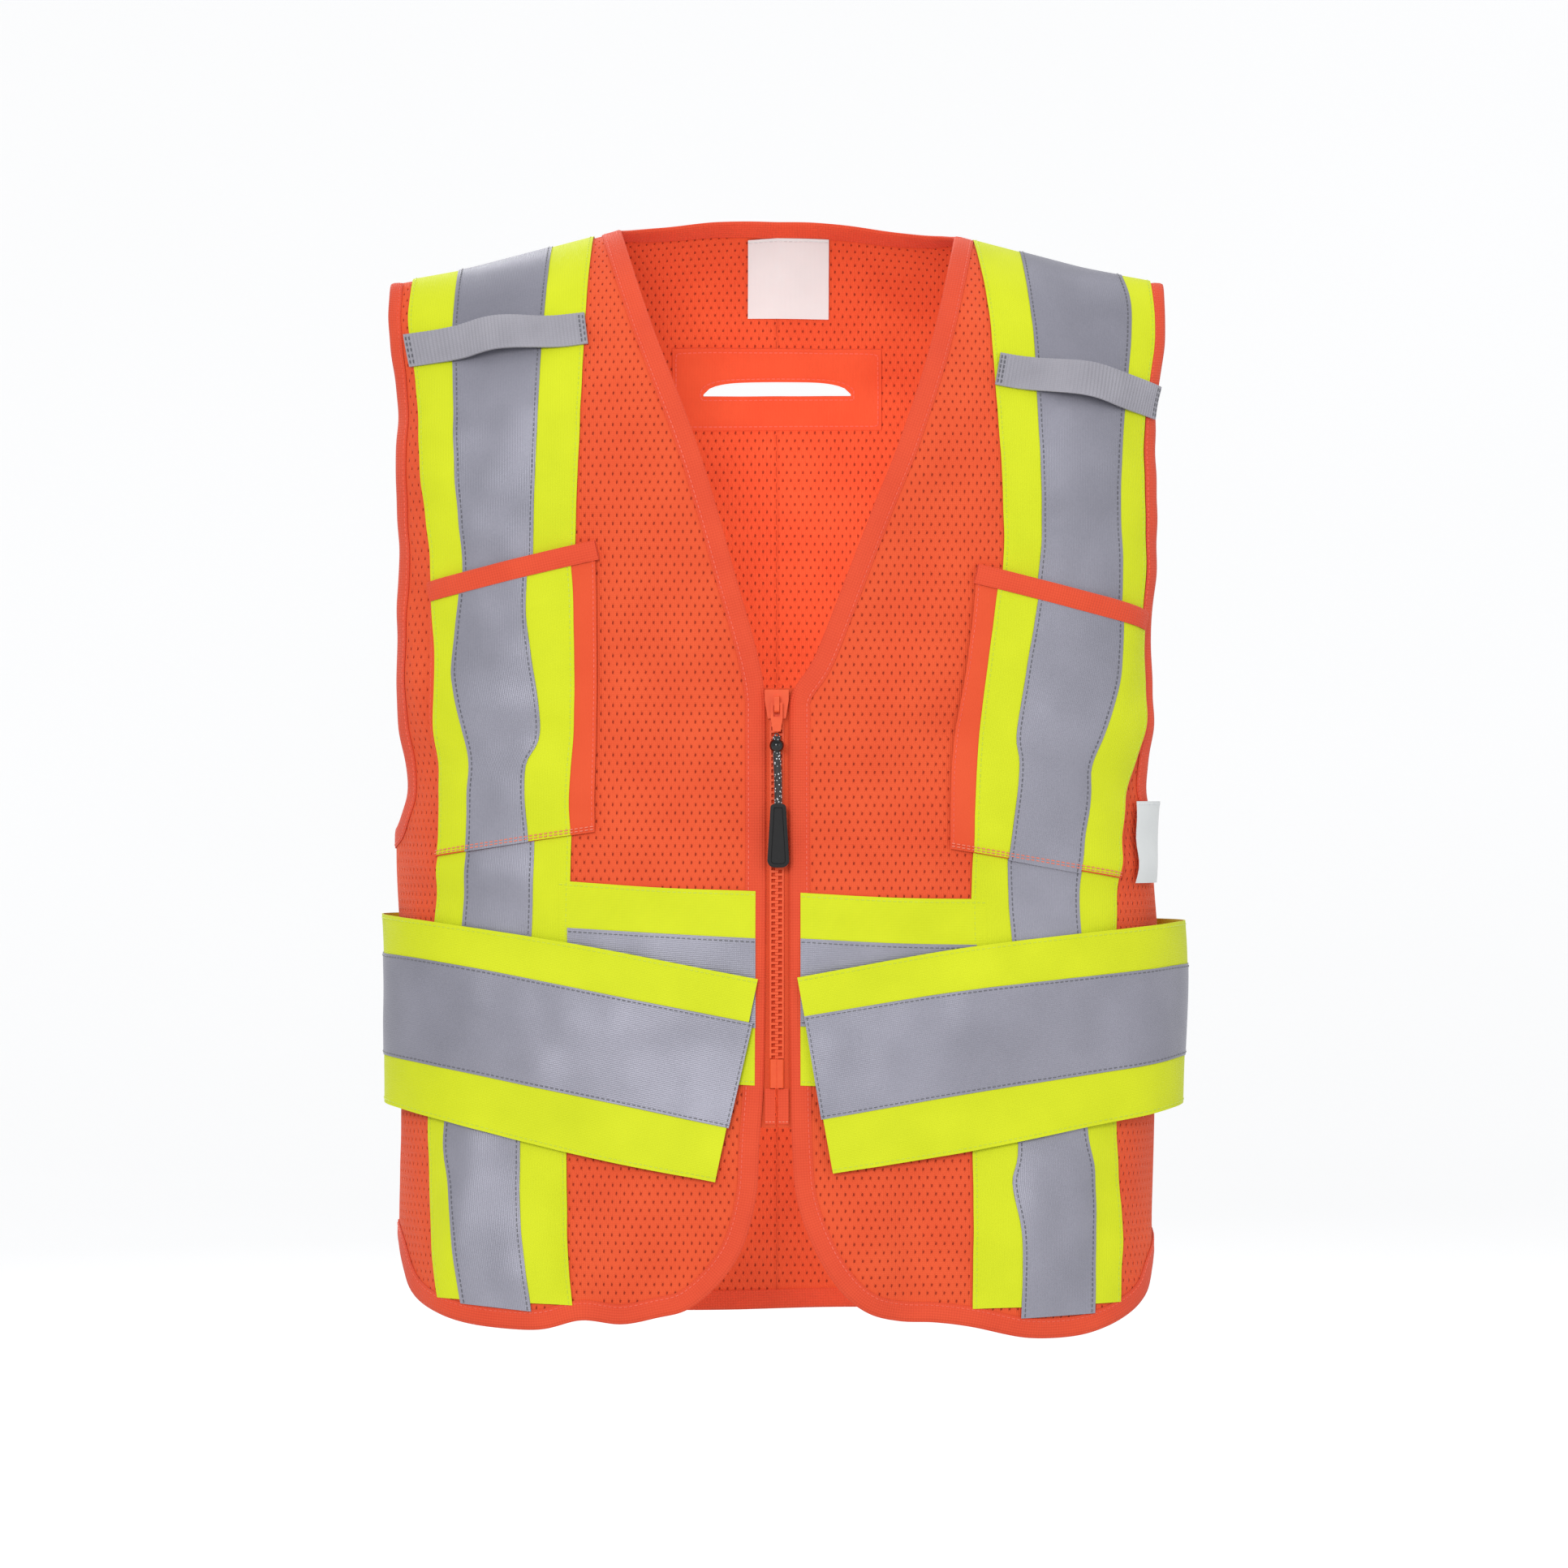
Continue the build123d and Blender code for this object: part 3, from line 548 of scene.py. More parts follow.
def retroreflective():
    """Glass-bead reflective cloth: silver-grey with a satin shine, fine beads and faint cross ribs."""
    material, tree, shader = start_material("glass_bead_tape_coated", 0.45, {"Metallic": 0.4})
    [clouds], [beads] = blobs(tree, 0.06), blobs(tree, 0.0012, detail=1.0)
    blend = add_node(tree, "ShaderNodeMath", {"operation": "MULTIPLY_ADD", "use_clamp": True},
                     {0: beads, 1: 0.35, 2: clouds})
    ribs = thread_pattern(tree, 0.0011, 0.3)
    finish_surface(tree, shader, blend.outputs[0], "70707A", "93929E", ribs, 0.00006)
    return material


silver_tape = retroreflective()


def thread_material(name, colour):
    """Twisted polyester thread: slightly shiny."""
    material, tree, shader = start_material(name, 0.5, {"Sheen Weight": 0.2})
    finish_surface(tree, shader, blobs(tree, 0.004)[0], *colour)
    return material


dark_thread = thread_material("polyester_thread_grey", ("4A4A50", "6A6A70"))
salmon_thread = thread_material("polyester_thread_salmon", ("E56A4E", "F08A6C"))
orange_thread = thread_material("polyester_thread_orange", ("D9482C", "F4694A"))
lime_thread = thread_material("polyester_thread_lime", ("B4C41C", "D5E23A"))
white_thread = thread_material("polyester_thread_white", ("C4C8C8", "E8EAEA"))


def moulded_plastic(name, dark, light, roughness, grain=0.0015, depth=0.00003, coat=0.0):
    """Moulded plastic: even colour with faint clouding and a very fine spark-eroded grain."""
    material, tree, shader = start_material(name, roughness, {SPECULAR: DULL, "Coat Weight": coat})
    [clouds], [grains] = blobs(tree, 0.006), blobs(tree, grain, detail=2.0)
    finish_surface(tree, shader, clouds, dark, light, grains, depth, 0.4)
    return material


# Acetal zip teeth, box and slider: semi-gloss orange
orange_acetal = moulded_plastic("acetal_moulded_orange", "DC4A24", "EE5E2E", 0.35)
# Glossy black bead
black_abs = moulded_plastic("abs_moulded_black", "040405", "0A0A0C", 0.12, coat=0.3)
# Matt black rubbery grip
black_rubber = moulded_plastic("tpe_moulded_black", "060607", "101012", 0.55, 0.0008, 0.00006)


def flecked_cord():
    """Braided nylon cord: black with short white flecks that turn round it."""
    material, tree, shader = start_material("nylon_cord_braided", 0.6, {"Sheen Weight": 0.2})
    spot = add_node(tree, "ShaderNodeTexCoord").outputs["Object"]
    flecks = add_node(tree, "ShaderNodeTexVoronoi", None, {"Vector": spot, "Scale": 620.0})
    far = flecks.outputs["Distance"]
    chosen = add_node(tree, "ShaderNodeMath", {"operation": "LESS_THAN"}, {0: far, 1: 0.28})
    finish_surface(tree, shader, chosen.outputs[0], "101012", "D8D8D8", far, 0.0004)
    return material


cord_braid = flecked_cord()

# ------------------------------------------------------------------ outlines, as seen from the front
# Left and right are the wearer's, so left is on +X. None is the shoulder line.
SIDES = {"left": 1, "right": -1}
SIDE_EDGE = HALF_WIDTH
SHOULDER_CORNER = 219
EDGE_LINE = {
    "left": [(108, None), (93, -69), (74, -128), (59, -166), (40, -215), (23, -258), (10, -279), (8.5, -300),
             (8.5, -400), (9, -500), (10, -548), (13, -580), (24, -610), (38, -632), (54, -645), (73, -650),
             (94, -651), (116, -654), (149, -661), (180, -660), (203, -652), (218, -639), (SIDE_EDGE, -612)],
    "right": [(-95, None), (-76, -57), (-51, -123), (-37, -167), (-25, -210), (-13, -253), (-8, -279),
              (-7.5, -300), (-7.5, -400), (-8.5, -500), (-11, -545), (-13, -577), (-21, -607), (-35, -628),
              (-53, -643), (-71, -648), (-92, -652), (-116, -650), (-142, -656), (-178, -654), (-200, -648),
              (-217, -636), (-SIDE_EDGE, -607)],
}
ARM_LINE = [(SHOULDER_CORNER, None), (219.5, -100), (219.5, -200), (219.5, -290), (221, -325), (224.5, -348),
            (SIDE_EDGE, -361)]
BACK_NECK = [(-95, None), (-70, 5), (-36, 9.5), (0, 10), (36, 8), (74, 2), (108, None)]
BACK_HEM = [(-SIDE_EDGE, -607), (-218, -634), (-203, -645), (-150, -653), (-50, -657), (50, -655),
            (150, -657), (203, -649), (218, -638), (SIDE_EDGE, -612)]
FRONT_LIME = {
    "left": ([(118, None), (127, -55), (131, -115), (134, -165), (134, -204), (124, -300), (116, -374),
              (115, -450), (116, -550), (116, -644)],
             [(213, None), (214, -60), (213, -118), (213, -188), (213, -240), (213, -290), (206, -335),
              (202, -388), (200, -450), (201, -532), (206, -592), (203, -642)]),
    "right": ([(-110, None), (-114, -53), (-117, -132), (-119, -190), (-119, -292), (-121, -363),
               (-124, -450), (-125, -547), (-124, -607), (-121, -642)],
              [(-209, None), (-210, -60), (-208, -110), (-206, -150), (-203, -200), (-201, -300),
               (-201, -375), (-205, -450), (-208, -526), (-205, -590), (-199, -639)]),
}
FRONT_SILVER = {
    "left": ([(146, None), (153, -64), (154, -102), (157, -182), (152, -230), (141, -300), (137, -379),
              (140, -450), (143, -544), (139, -570), (144, -602), (144, -650)],
             [(201, None), (204, -45), (203, -87), (201, -164), (201, -230), (192, -300), (180, -388),
              (181, -450), (184, -534), (190, -567), (191, -603), (188, -648)]),
    "right": ([(-135, None), (-140, -73), (-143, -148), (-144, -196), (-145, -300), (-143, -369),
               (-147, -450), (-152.5, -550), (-152, -594), (-145, -646)],
              [(-190, None), (-192, -81), (-190, -148), (-186, -205), (-186, -300), (-184, -376),
               (-189, -450), (-198, -540), (-193, -577), (-186, -642)]),
}
BACK_LIME = {
    "left": ([(118, None), (117, -100), (116, -165), (114, -400), (116, -646)],
             [(213, None), (209, -100), (206, -165), (205, -400), (204, -638)]),
    "right": ([(-110, None), (-113, -100), (-115, -165), (-118, -400), (-116, -645)],
              [(-209, None), (-207, -100), (-206, -165), (-206, -400), (-204, -634)]),
}
BACK_SILVER = {
    "left": ([(146, None), (142, -100), (140, -165), (137, -400), (140, -646)],
             [(201, None), (194, -100), (189, -165), (187, -400), (188, -642)]),
    "right": ([(-135, None), (-138, -100), (-140, -165), (-142, -400), (-140, -645)],
              [(-190, None), (-188, -100), (-187, -165), (-189, -400), (-187, -638)]),
}
POCKET_SIDES = {
    "left": ([(119, -203), (112, -260), (104, -313), (102, -371)],
             [(214, -230), (215, -290), (209, -340), (202, -389)]),
    "right": ([(-107, -189), (-106, -260), (-107, -330), (-107, -361)],
              [(-203, -213), (-201, -270), (-202, -320), (-202, -376)]),
}
POCKET_LIME = {
    "left": ([(131, -207), (124, -259), (118, -313), (116, -373)],
             [(213, -232), (214, -290), (208, -338), (201, -388)]),
    "right": ([(-121, -194), (-119, -231), (-119, -292), (-122, -341), (-121, -363)],
              [(-202, -214), (-198, -265), (-200, -317), (-201, -375)]),
}
POCKET_SILVER = {
    "left": ([(154, -215), (144, -278), (140, -305), (142, -325), (137, -378)],
             [(200, -228), (199, -268), (191, -302), (185, -322), (185, -341), (179, -386)]),
    "right": ([(-145, -200), (-146, -230), (-143, -258), (-139, -288), (-140, -307), (-147, -321),
               (-148, -341), (-146, -367)],
              [(-185, -210), (-189, -258), (-188, -278), (-182, -317), (-183, -341), (-184, -373)]),
}
WAIST_LIME = {
    "left": ([(14, -397), (70, -400), (124, -401)], [(14, -511), (70, -513), (124, -515)]),
    "right": ([(-12.5, -396), (-70, -394), (-129, -390)], [(-13, -511), (-70, -508), (-129, -505)]),
}
WAIST_SILVER = {
    "left": ([(14, -424), (70, -427), (118, -428)], [(14, -476), (70, -479), (118, -481)]),
    "right": ([(-12.5, -424), (-70, -421), (-124, -418)], [(-12.5, -477), (-70, -473), (-124, -469)]),
}
BELT = {
    "left": ([(12, -447), (108, -430), (201, -419), (SIDE_EDGE, -415)],
             [(33, -563), (116, -550), (201, -533), (SIDE_EDGE, -525)]),
    "right": ([(-11, -448), (-110, -429), (-200, -415), (-SIDE_EDGE, -411)],
              [(-36, -568), (-120, -552), (-205, -531), (-SIDE_EDGE, -524)]),
}
BELT_SILVER = {
    "left": ([(16, -470), (110, -455), (201, -445), (SIDE_EDGE, -441)],
             [(26, -531), (108, -517), (200, -503), (SIDE_EDGE, -496)]),
    "right": ([(-14, -474), (-110, -455), (-200, -438), (-SIDE_EDGE, -434)],
              [(-28, -536), (-110, -519), (-200, -501), (-SIDE_EDGE, -495)]),
}


def fix(piece, body, replaced=(), across=None):
    """Fixes a finished piece to its body, or across a joint, and hides the parts it replaces."""
    if len(piece.data.polygons) < 30000:
        piece.data.set_sharp_from_angle(angle=math.radians(50))
    if across == "shoulder":
        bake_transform(piece)
    elif across == "side":
        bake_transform(piece)
    else:
        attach(piece, body)
    if replaced:
        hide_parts(*replaced)
    return piece


# ------------------------------------------------------------------ mesh panels
HALF_PITCH = 2.45
COLUMNS = 112
ROW = 4.9
MESH_THICK = 0.7
# Lowest and highest lift of the dark sheet of painted shade behind the holes, inside the mesh's thickness
SHADE_SHEET_LIFTS = (0.25, 0.4)
# One six-sided hole, about 1.2 by 2 mm, leaning a little
HOLE = np.array([(-0.62, -0.5), (-0.1, -0.98), (0.42, -0.62), (0.62, 0.5), (0.1, 0.98), (-0.42, 0.62)])
UNDER_BINDING = 11.5


def shoulder_t(s, back):
    """Cloth coordinate of the shoulder line in each column."""
    x, y = round_body(s, BACK_DEPTH if back else FRONT_DEPTH)
    turns, lengths = arch_table(x, np.maximum(y, 1.0))
    return CHEST + np.array([np.interp(math.pi / 2, turns, row) for row in lengths])


def inside(s, t, outline):
    """Which cloth points lie in a closed outline."""
    result = np.zeros(s.shape, bool)
    for (s1, t1), (s2, t2) in zip(outline, np.roll(outline, -1, axis=0)):
        crosses = (t1 > t) != (t2 > t)
        result ^= crosses & (s < (s2 - s1) * (t - t1) / (t2 - t1 + 1e-12) + s1)
    return result


def mesh_panel(name, outline, tapes, sign, back=False, slot=None, is_shade_sheet=False):
    """Knitted mesh with its real holes, left whole under tapes and bindings; the dark sheet of painted shade behind
    the holes has none.
    """
    side = BACK_SIDE if back else FRONT_SIDE
    inner_end = 0 if back else max(0, (outline[:, 0] * sign).min())
    s_lines = np.linspace(0, side, COLUMNS + 1)
    s_lines = s_lines[s_lines > inner_end - 2 * HALF_PITCH]
    s_lines = s_lines if sign > 0 else -s_lines[::-1]
    t_lines = np.arange(outline[:, 1].min() - ROW, outline[:, 1].max() + ROW, ROW)
    s, t = np.meshgrid(s_lines, t_lines)
    t = np.minimum(t, shoulder_t(s_lines, back)[None, :])
    full = np.diff(t, axis=0)[:, :-1] > ROW * 0.9
    middle_s = (s[:-1, :-1] + s[1:, 1:]) / 2
    middle_t = (t_lines[:-1] + t_lines[1:])[:, None] / 2 + 0 * middle_s
    ds, dt = s[1:, 1:] - s[:-1, :-1], t[1:, :-1] - t[:-1, :-1]
    kept = dt > 0.01
    for across, up in ((0.05, 0.05), (0.95, 0.05), (0.05, 0.95), (0.95, 0.95)):
        kept &= inside(s[:-1, :-1] + ds * across, t[:-1, :-1] + dt * up, outline)
    row, column = np.indices(kept.shape)
    holed = kept & full & ((row + column) % 2 == 0)
    past_middle = outline.copy()
    past_middle[:, 0] = np.where(np.abs(outline[:, 0]) < 0.1, -sign * 2 * UNDER_BINDING, outline[:, 0])
    for ds, dt in ((1, 0), (-1, 0), (0, 1), (0, -1)):
        holed &= inside(middle_s + ds * UNDER_BINDING, middle_t + dt * UNDER_BINDING, past_middle)
    for tape in tapes:
        holed &= ~inside(middle_s, middle_t, tape)
    if slot is not None:
        near = np.abs(middle_s) < slot[0]
        kept &= ~(near & (np.abs(middle_t - slot[1]) < slot[2]))
        holed &= kept
    # The dark sheet of painted shade is whole: it has no holes
    if is_shade_sheet:
        holed[:] = False
    rows, columns = s.shape
    index = np.arange(rows * columns).reshape(rows, columns)
    a, b, c, d = index[:-1, :-1], index[:-1, 1:], index[1:, 1:], index[1:, :-1]
    solid = kept & ~holed
    quads = np.stack([a[solid], b[solid], c[solid], d[solid]], -1)
    hole_s = middle_s[holed][:, None] + HOLE[:, 0]
    hole_t = middle_t[holed][:, None] + HOLE[:, 1]
    ring = rows * columns + np.arange(hole_s.size).reshape(hole_s.shape)
    a, b, c, d = a[holed], b[holed], c[holed], d[holed]
    h = ring.T
    around = [[a, b, h[2], h[1], h[0]], [b, c, h[3], h[2]], [c, d, h[5], h[4], h[3]], [d, a, h[0], h[5]]]
    all_s, all_t = np.concatenate([s.ravel(), hole_s.ravel()]), np.concatenate([t.ravel(), hole_t.ravel()])
    count = len(all_s)
    low, high = SHADE_SHEET_LIFTS if is_shade_sheet else (0.0, MESH_THICK)
    outer = place(all_s, all_t, high, back)
    inner = place(all_s, all_t, low, back)
    faces = quads.tolist() + (quads[:, ::-1] + count).tolist()
    for corners in around:
        face = np.stack(corners, -1)
        faces += face.tolist() + (face[:, ::-1] + count).tolist()
    after = np.roll(ring, -1, axis=1)
    walls = np.stack([ring, after, after + count, ring + count], -1).reshape(-1, 4)
    padded = np.pad(kept, 1)
    high_end, wide_end = kept.shape
    for dr, dc, first, second in ((-1, 0, 0, 1), (0, 1, 1, 2), (1, 0, 2, 3), (0, -1, 3, 0)):
        open_here = kept & ~padded[1 + dr:1 + dr + high_end, 1 + dc:1 + dc + wide_end]
        r, k = np.nonzero(open_here)
        corner = [index[r, k], index[r, k + 1], index[r + 1, k + 1], index[r + 1, k]]
        walls = np.concatenate([walls, np.stack([corner[second], corner[first], corner[first] + count,
                                                 corner[second] + count], -1)])
    faces += walls.tolist()
    if back:
        faces = [face[::-1] for face in faces]
    uv = np.stack([np.concatenate([all_s, all_s]), np.concatenate([all_t, all_t])], -1) * MM
    # Painted shade: the sheet behind the holes takes the dark cloth
    material = hole_shade_sheet_cloth if is_shade_sheet else knitted_mesh
    piece = new_piece(name, np.concatenate([outer, inner]), faces, material, uv)
    bm = bmesh.new()
    bm.from_mesh(piece.data)
    bmesh.ops.delete(bm, geom=[v for v in bm.verts if not v.link_faces], context="VERTS")
    bm.to_mesh(piece.data)
    bm.free()
    cut = cell_areas(s, t)[kept].sum()
    kept_rows, kept_columns = np.nonzero(kept)
    wide = (np.ptp(kept_columns) + 1) * HALF_PITCH * MM
    long = (np.ptp(kept_rows) + 1) * ROW * MM
    return piece, wide, long, cut


def tape_outline(pair, back=False):
    """Closed outline between two lines seen from the front, in cloth coordinates."""
    return np.concatenate([seen(pair[0], back=back), seen(pair[1], back=back)[::-1]])


def arm_line(side, back=False):
    sign = SIDES[side]
    return seen([(sign * x, z) for x, z in ARM_LINE], step=3.0, back=back)


def shoulder_line(start_x, end_x, back=False):
    """Shoulder line between two x, a little over it so that the last row of cells is kept."""
    x = np.linspace(start_x, end_x, 30)
    s, t = cloth_from_view(x, np.array([ridge_height(v) for v in x]), back)
    return np.stack([s, t + HALF_PITCH], -1)


def front_panel(side):
    sign = SIDES[side]
    edge = seen(EDGE_LINE[side], step=3.0)
    arm = arm_line(side)
    outline = np.concatenate([edge, [(sign * FRONT_SIDE, edge[-1, 1])], [(sign * FRONT_SIDE, arm[-1, 1])],
                              arm[::-1], shoulder_line(sign * SHOULDER_CORNER, EDGE_LINE[side][0][0])])
    covers = [FRONT_LIME[side], WAIST_LIME[side], POCKET_SIDES[side]]
    # The mesh, then a dark sheet of painted shade behind its holes
    for name, is_shade_sheet in (("mesh_front_", False), ("hole_shade_front_", True)):
        piece, wide, long, cut = mesh_panel(name + side, outline, [tape_outline(c) for c in covers], sign,
                                            is_shade_sheet=is_shade_sheet)
        replaced = () if is_shade_sheet else ("front_panel_" + side, "yoke_" + side)
        fix(piece, "front_" + side, replaced, across="shoulder")


def back_panel(side):
    sign = SIDES[side]
    half_neck = [p for p in seen(BACK_NECK, step=3.0, back=True) if p[0] * sign >= 0]
    neck = np.array(half_neck if sign > 0 else half_neck[::-1])
    hem = seen(BACK_HEM, back=True)
    hem = hem[hem[:, 0] * sign >= 0]
    hem = hem[::-1] if sign > 0 else hem
    arm = arm_line(side, True)
    shoulder = shoulder_line(BACK_NECK[-1 if sign > 0 else 0][0], sign * SHOULDER_CORNER, True)
    outline = np.concatenate([[(0, neck[0, 1])], neck, shoulder, arm, [(sign * BACK_SIDE, arm[-1, 1])], hem,
                              [(0, hem[-1, 1])]])
    outline[:, 0] -= sign * 0.01
    # The mesh, then a dark sheet of painted shade behind its holes
    for name, is_shade_sheet in (("mesh_back_", False), ("hole_shade_back_", True)):
        piece, wide, long, cut = mesh_panel(name + side, outline, [tape_outline(BACK_LIME[side], True)],
                                            sign, True, (46.0, slot_t(), 7.0), is_shade_sheet)
        fix(piece, "root", () if is_shade_sheet else ("back_panel" if sign > 0 else "back_yoke",))


# ------------------------------------------------------------------ slot in the back
SLOT_MIDDLE = -89.0
SLOT_HALF = 45.5
SLOT_HIGH = 9.0
PATCH_HALF = (64.5, 25.5)


def slot_t():
    """Cloth coordinate of the slot's middle."""
    return float(cloth_from_view([0.0], [SLOT_MIDDLE], True)[1][0])


def slot_patch(name, lift, thickness, material):
    """Patch round the slot, in rings from the slot's edge, flat below and arched above, to its own."""
    turn = np.linspace(0, 2 * math.pi, 144, endpoint=False)
    reach = np.maximum(np.abs(np.cos(turn)), np.abs(np.sin(turn)))
    square = np.stack([np.cos(turn) / reach, np.sin(turn) / reach], -1)
    height = SLOT_HIGH * (0.15 + 0.85 * (1 - np.abs(square[:, 0]) ** 4) ** 0.6)
    inner = np.stack([square[:, 0] * SLOT_HALF, height * (square[:, 1] + 1) / 2 - SLOT_HIGH / 2], -1)
    outer = square * PATCH_HALF
    shares = np.concatenate([[0, 0.03], np.linspace(0.1, 1, 9)])[:, None, None]
    rings = inner * (1 - shares) + outer * shares
    s, t = rings[..., 0], rings[..., 1] + slot_t()
    top, low = place(s, t, lift + thickness, True), place(s, t, lift, True)
    rows, columns = s.shape
    index = np.arange(rows * columns).reshape(rows, columns)
    after = np.roll(index, -1, axis=1)
    count = rows * columns
    quads = np.stack([index[:-1], after[:-1], after[1:], index[1:]], -1).reshape(-1, 4)
    ends = [np.stack([after[0], index[0], index[0] + count, after[0] + count], -1),
            np.stack([index[-1], after[-1], after[-1] + count, index[-1] + count], -1)]
    faces = np.concatenate([quads, quads[:, ::-1] + count] + ends)
    uv = np.concatenate([rings.reshape(-1, 2)] * 2) * MM
    piece = new_piece(name, np.stack([top, low]), faces.tolist(), material, uv)
    face_outwards(piece)
    return piece, rings + (0, slot_t())


def back_slot():
    patch, rings = slot_patch("slot_facing_tape", -0.95, 0.8, smooth_lining)
    fix(patch, "root", ("slot_facing",))
    cover, rings = slot_patch("slot_facing_cover", 0.8, 0.5, smooth_lining)
    fix(cover, "root")
    rows = [np.concatenate([rings[k], rings[k][:1]]) for k in (2, -2)]
    for name, lift in (("slot_stitching_inside", -1.35), ("slot_stitching_outside", 1.25)):
        fix(stitches(name, rows, lift, orange_thread, True), "root")


# ------------------------------------------------------------------ edges and tapes
def cloth_tape(name, pair, lift, material, body, replaced, back=False, across=None, thickness=0.4,
               thread=None, margin=2.2):
    """Sewn tape between two lines, with a stitch row inside each edge."""
    piece = strip(name, *pair, lift, thickness, material, back)
    fix(piece, body, replaced, across)
    first, second = cut_line(name, 0), cut_line(name, -1)
    lines = [inset_line(first, second, margin), inset_line(second, first, margin)]

    def on_top(s, t):
        return value_of(lift, s, t) + thickness
    fix(stitches(name + "_stitching", lines, on_top, thread, back), body, (), across)


# Stitch row of the bindings: in from the cloth's edge, and its lift
STITCH_INSET = 9.2
STITCH_LIFT = 1.6
SILVER_THICK = 0.35


def front_edges(side):
    sign = SIDES[side]
    line = seen(EDGE_LINE[side], step=3.0)
    piece = edging("edge_binding_" + side, line, binding_tape, side=sign)
    fix(piece, "front_" + side, ("front_edge_binding_" + side, "neck_binding_" + side), "shoulder")
    row = line + outward_of(line) * sign * STITCH_INSET
    piece = stitches("edge_stitching_" + side, [row], STITCH_LIFT, orange_thread)
    fix(piece, "front_" + side, (), "shoulder")


def arm_edges(side):
    for back in (False, True):
        line = arm_line(side, back)
        body = "root" if back else "front_" + side
        name = ("back" if back else "front") + "_armhole_edge_" + side
        node = ("" if back else "front_") + "armhole_binding_" + side
        towards = -SIDES[side]
        piece = edging(name, line, binding_tape, side=towards, back=back)
        across = None if back else "shoulder"
        fix(piece, body, (node,), across)
        row = line + outward_of(line) * towards * STITCH_INSET
        piece = stitches(name + "_stitching", [row], STITCH_LIFT, orange_thread, back)
        fix(piece, body, (), across)


def back_edges():
    neck = seen(BACK_NECK, step=3.0, back=True)
    hem = seen(BACK_HEM, step=4.0, back=True)
    for name, line, towards, node in (("back_neck_edge", neck, -1, "back_neck_binding"),
                                      ("back_hem_edge", hem, 1, "back_hem_binding")):
        fix(edging(name, line, binding_tape, side=towards, back=True), "root", (node,), None)
        row = line + outward_of(line) * towards * STITCH_INSET
        fix(stitches(name + "_stitching", [row], STITCH_LIFT, orange_thread, True), "root")


def raised(lift, height):
    return lambda s, t: value_of(lift, s, t) + height


def tape_pair(names, lines, nodes, lift, rise, body, back=False, across=None, thickness=0.4,
              silver_margin=2.2):
    """Lime tape with a silver tape sewn on it; rise is from the lime tape's foot to the silver one's."""
    cloth_tape(names[0], lines[0], lift, lime_tape, body, (nodes[0],), back, across, thickness,
               lime_thread)
    cloth_tape(names[1], lines[1], raised(lift, rise), silver_tape, body, (nodes[1],), back,
               across, SILVER_THICK, dark_thread, silver_margin)


def body_tapes(side):
    """Tapes over the shoulder, down the back and round the waist."""
    front = "front_" + side
    tape_pair(("lime_tape_front_" + side, "silver_tape_front_" + side),
              (FRONT_LIME[side], FRONT_SILVER[side]), ("front_band_" + side, "front_reflective_" + side), 1.7, 0.55,
              front, across="shoulder")
    tape_pair(("lime_tape_back_" + side, "silver_tape_back_" + side), (BACK_LIME[side], BACK_SILVER[side]),
              ("shoulder_band_" + side, "shoulder_reflective_" + side), 1.7, 0.55, "root",
              True)
    tape_pair(("waist_lime_" + side, "waist_silver_" + side), (WAIST_LIME[side], WAIST_SILVER[side]),
              ("waist_band_" + side, "waist_reflective_" + side), 1.85, 0.55, front)


# ------------------------------------------------------------------ pockets
POCKET_RIM = 2.9
POCKET_BULGE = 5.5


def pocket_lift(side):
    """Lift of the pocket's cloth: sewn down at its sides and foot, open and full at its mouth."""
    inner, outer = (seen(line, count=30) for line in POCKET_SIDES[side])
    order = np.argsort(inner[:, 1]), np.argsort(outer[:, 1])

    def lift(s, t):
        low = np.interp(t, inner[order[0], 1], inner[order[0], 0])
        high = np.interp(t, outer[order[1], 1], outer[order[1], 0])
        share = np.clip((s - low) / (high - low), 0, 1)
        foot = inner[-1, 1] * (1 - share) + outer[-1, 1] * share
        mouth = inner[0, 1] * (1 - share) + outer[0, 1] * share
        rise = np.clip((t - foot) / (mouth - foot), 0, 1)
        crown = np.sin(math.pi * share) ** 0.8
        return POCKET_RIM + POCKET_BULGE * crown * smooth(rise / 0.45) * (0.75 + 0.25 * rise)
    return lift


def pocket(side):
    front = "front_" + side
    lift = pocket_lift(side)
    inner, outer = POCKET_SIDES[side]
    bag = strip("pocket_cloth_" + side, inner, outer, lift, 0.6, smooth_lining)
    fix(bag, front, ("pocket_bag_" + side,), None)
    tape_pair(("pocket_lime_" + side, "pocket_silver_" + side), (POCKET_LIME[side], POCKET_SILVER[side]),
              ("pocket_band_" + side, "pocket_reflective_" + side), raised(lift, 0.75), 0.55, front)
    cloth = "pocket_cloth_" + side
    mouth = even_steps(cut_line(cloth, row=0), 40)
    piece = edging("pocket_mouth_binding_" + side, mouth, binding_tape, side=-SIDES[side],
                   lift=raised(lift, 0.35), section=[(o, l * 1.35) for o, l in BINDING_SECTION])
    fix(piece, front, ("pocket_binding_" + side,), None)
    foot = even_steps(cut_line(cloth, row=-1), 40) + (0, 1.6)
    fix(stitches("pocket_foot_stitching_" + side, [foot, foot + (0, 1.7)], raised(lift, 1.7), salmon_thread),
        front)
    edges = [inset_line(cut_line(cloth, k), cut_line(cloth, -1 - k), 1.6) for k in (0, -1)]
    fix(stitches("pocket_side_stitching_" + side, edges, raised(lift, 0.6), orange_thread), front)


# ------------------------------------------------------------------ belt
BELT_LIFT = 5.2
BELT_THICK = 0.8
BELT_SILVER_RISE = 1.0
BELT_STAND = {"left": 12.0, "right": 5.0}


def belt_lift(s, t):
    """Lift of the belt, which stands off the vest at the sides."""
    stand = np.where(s > 0, BELT_STAND["left"], BELT_STAND["right"])
    return BELT_LIFT + stand * smooth((np.abs(s) - 185) / 75)


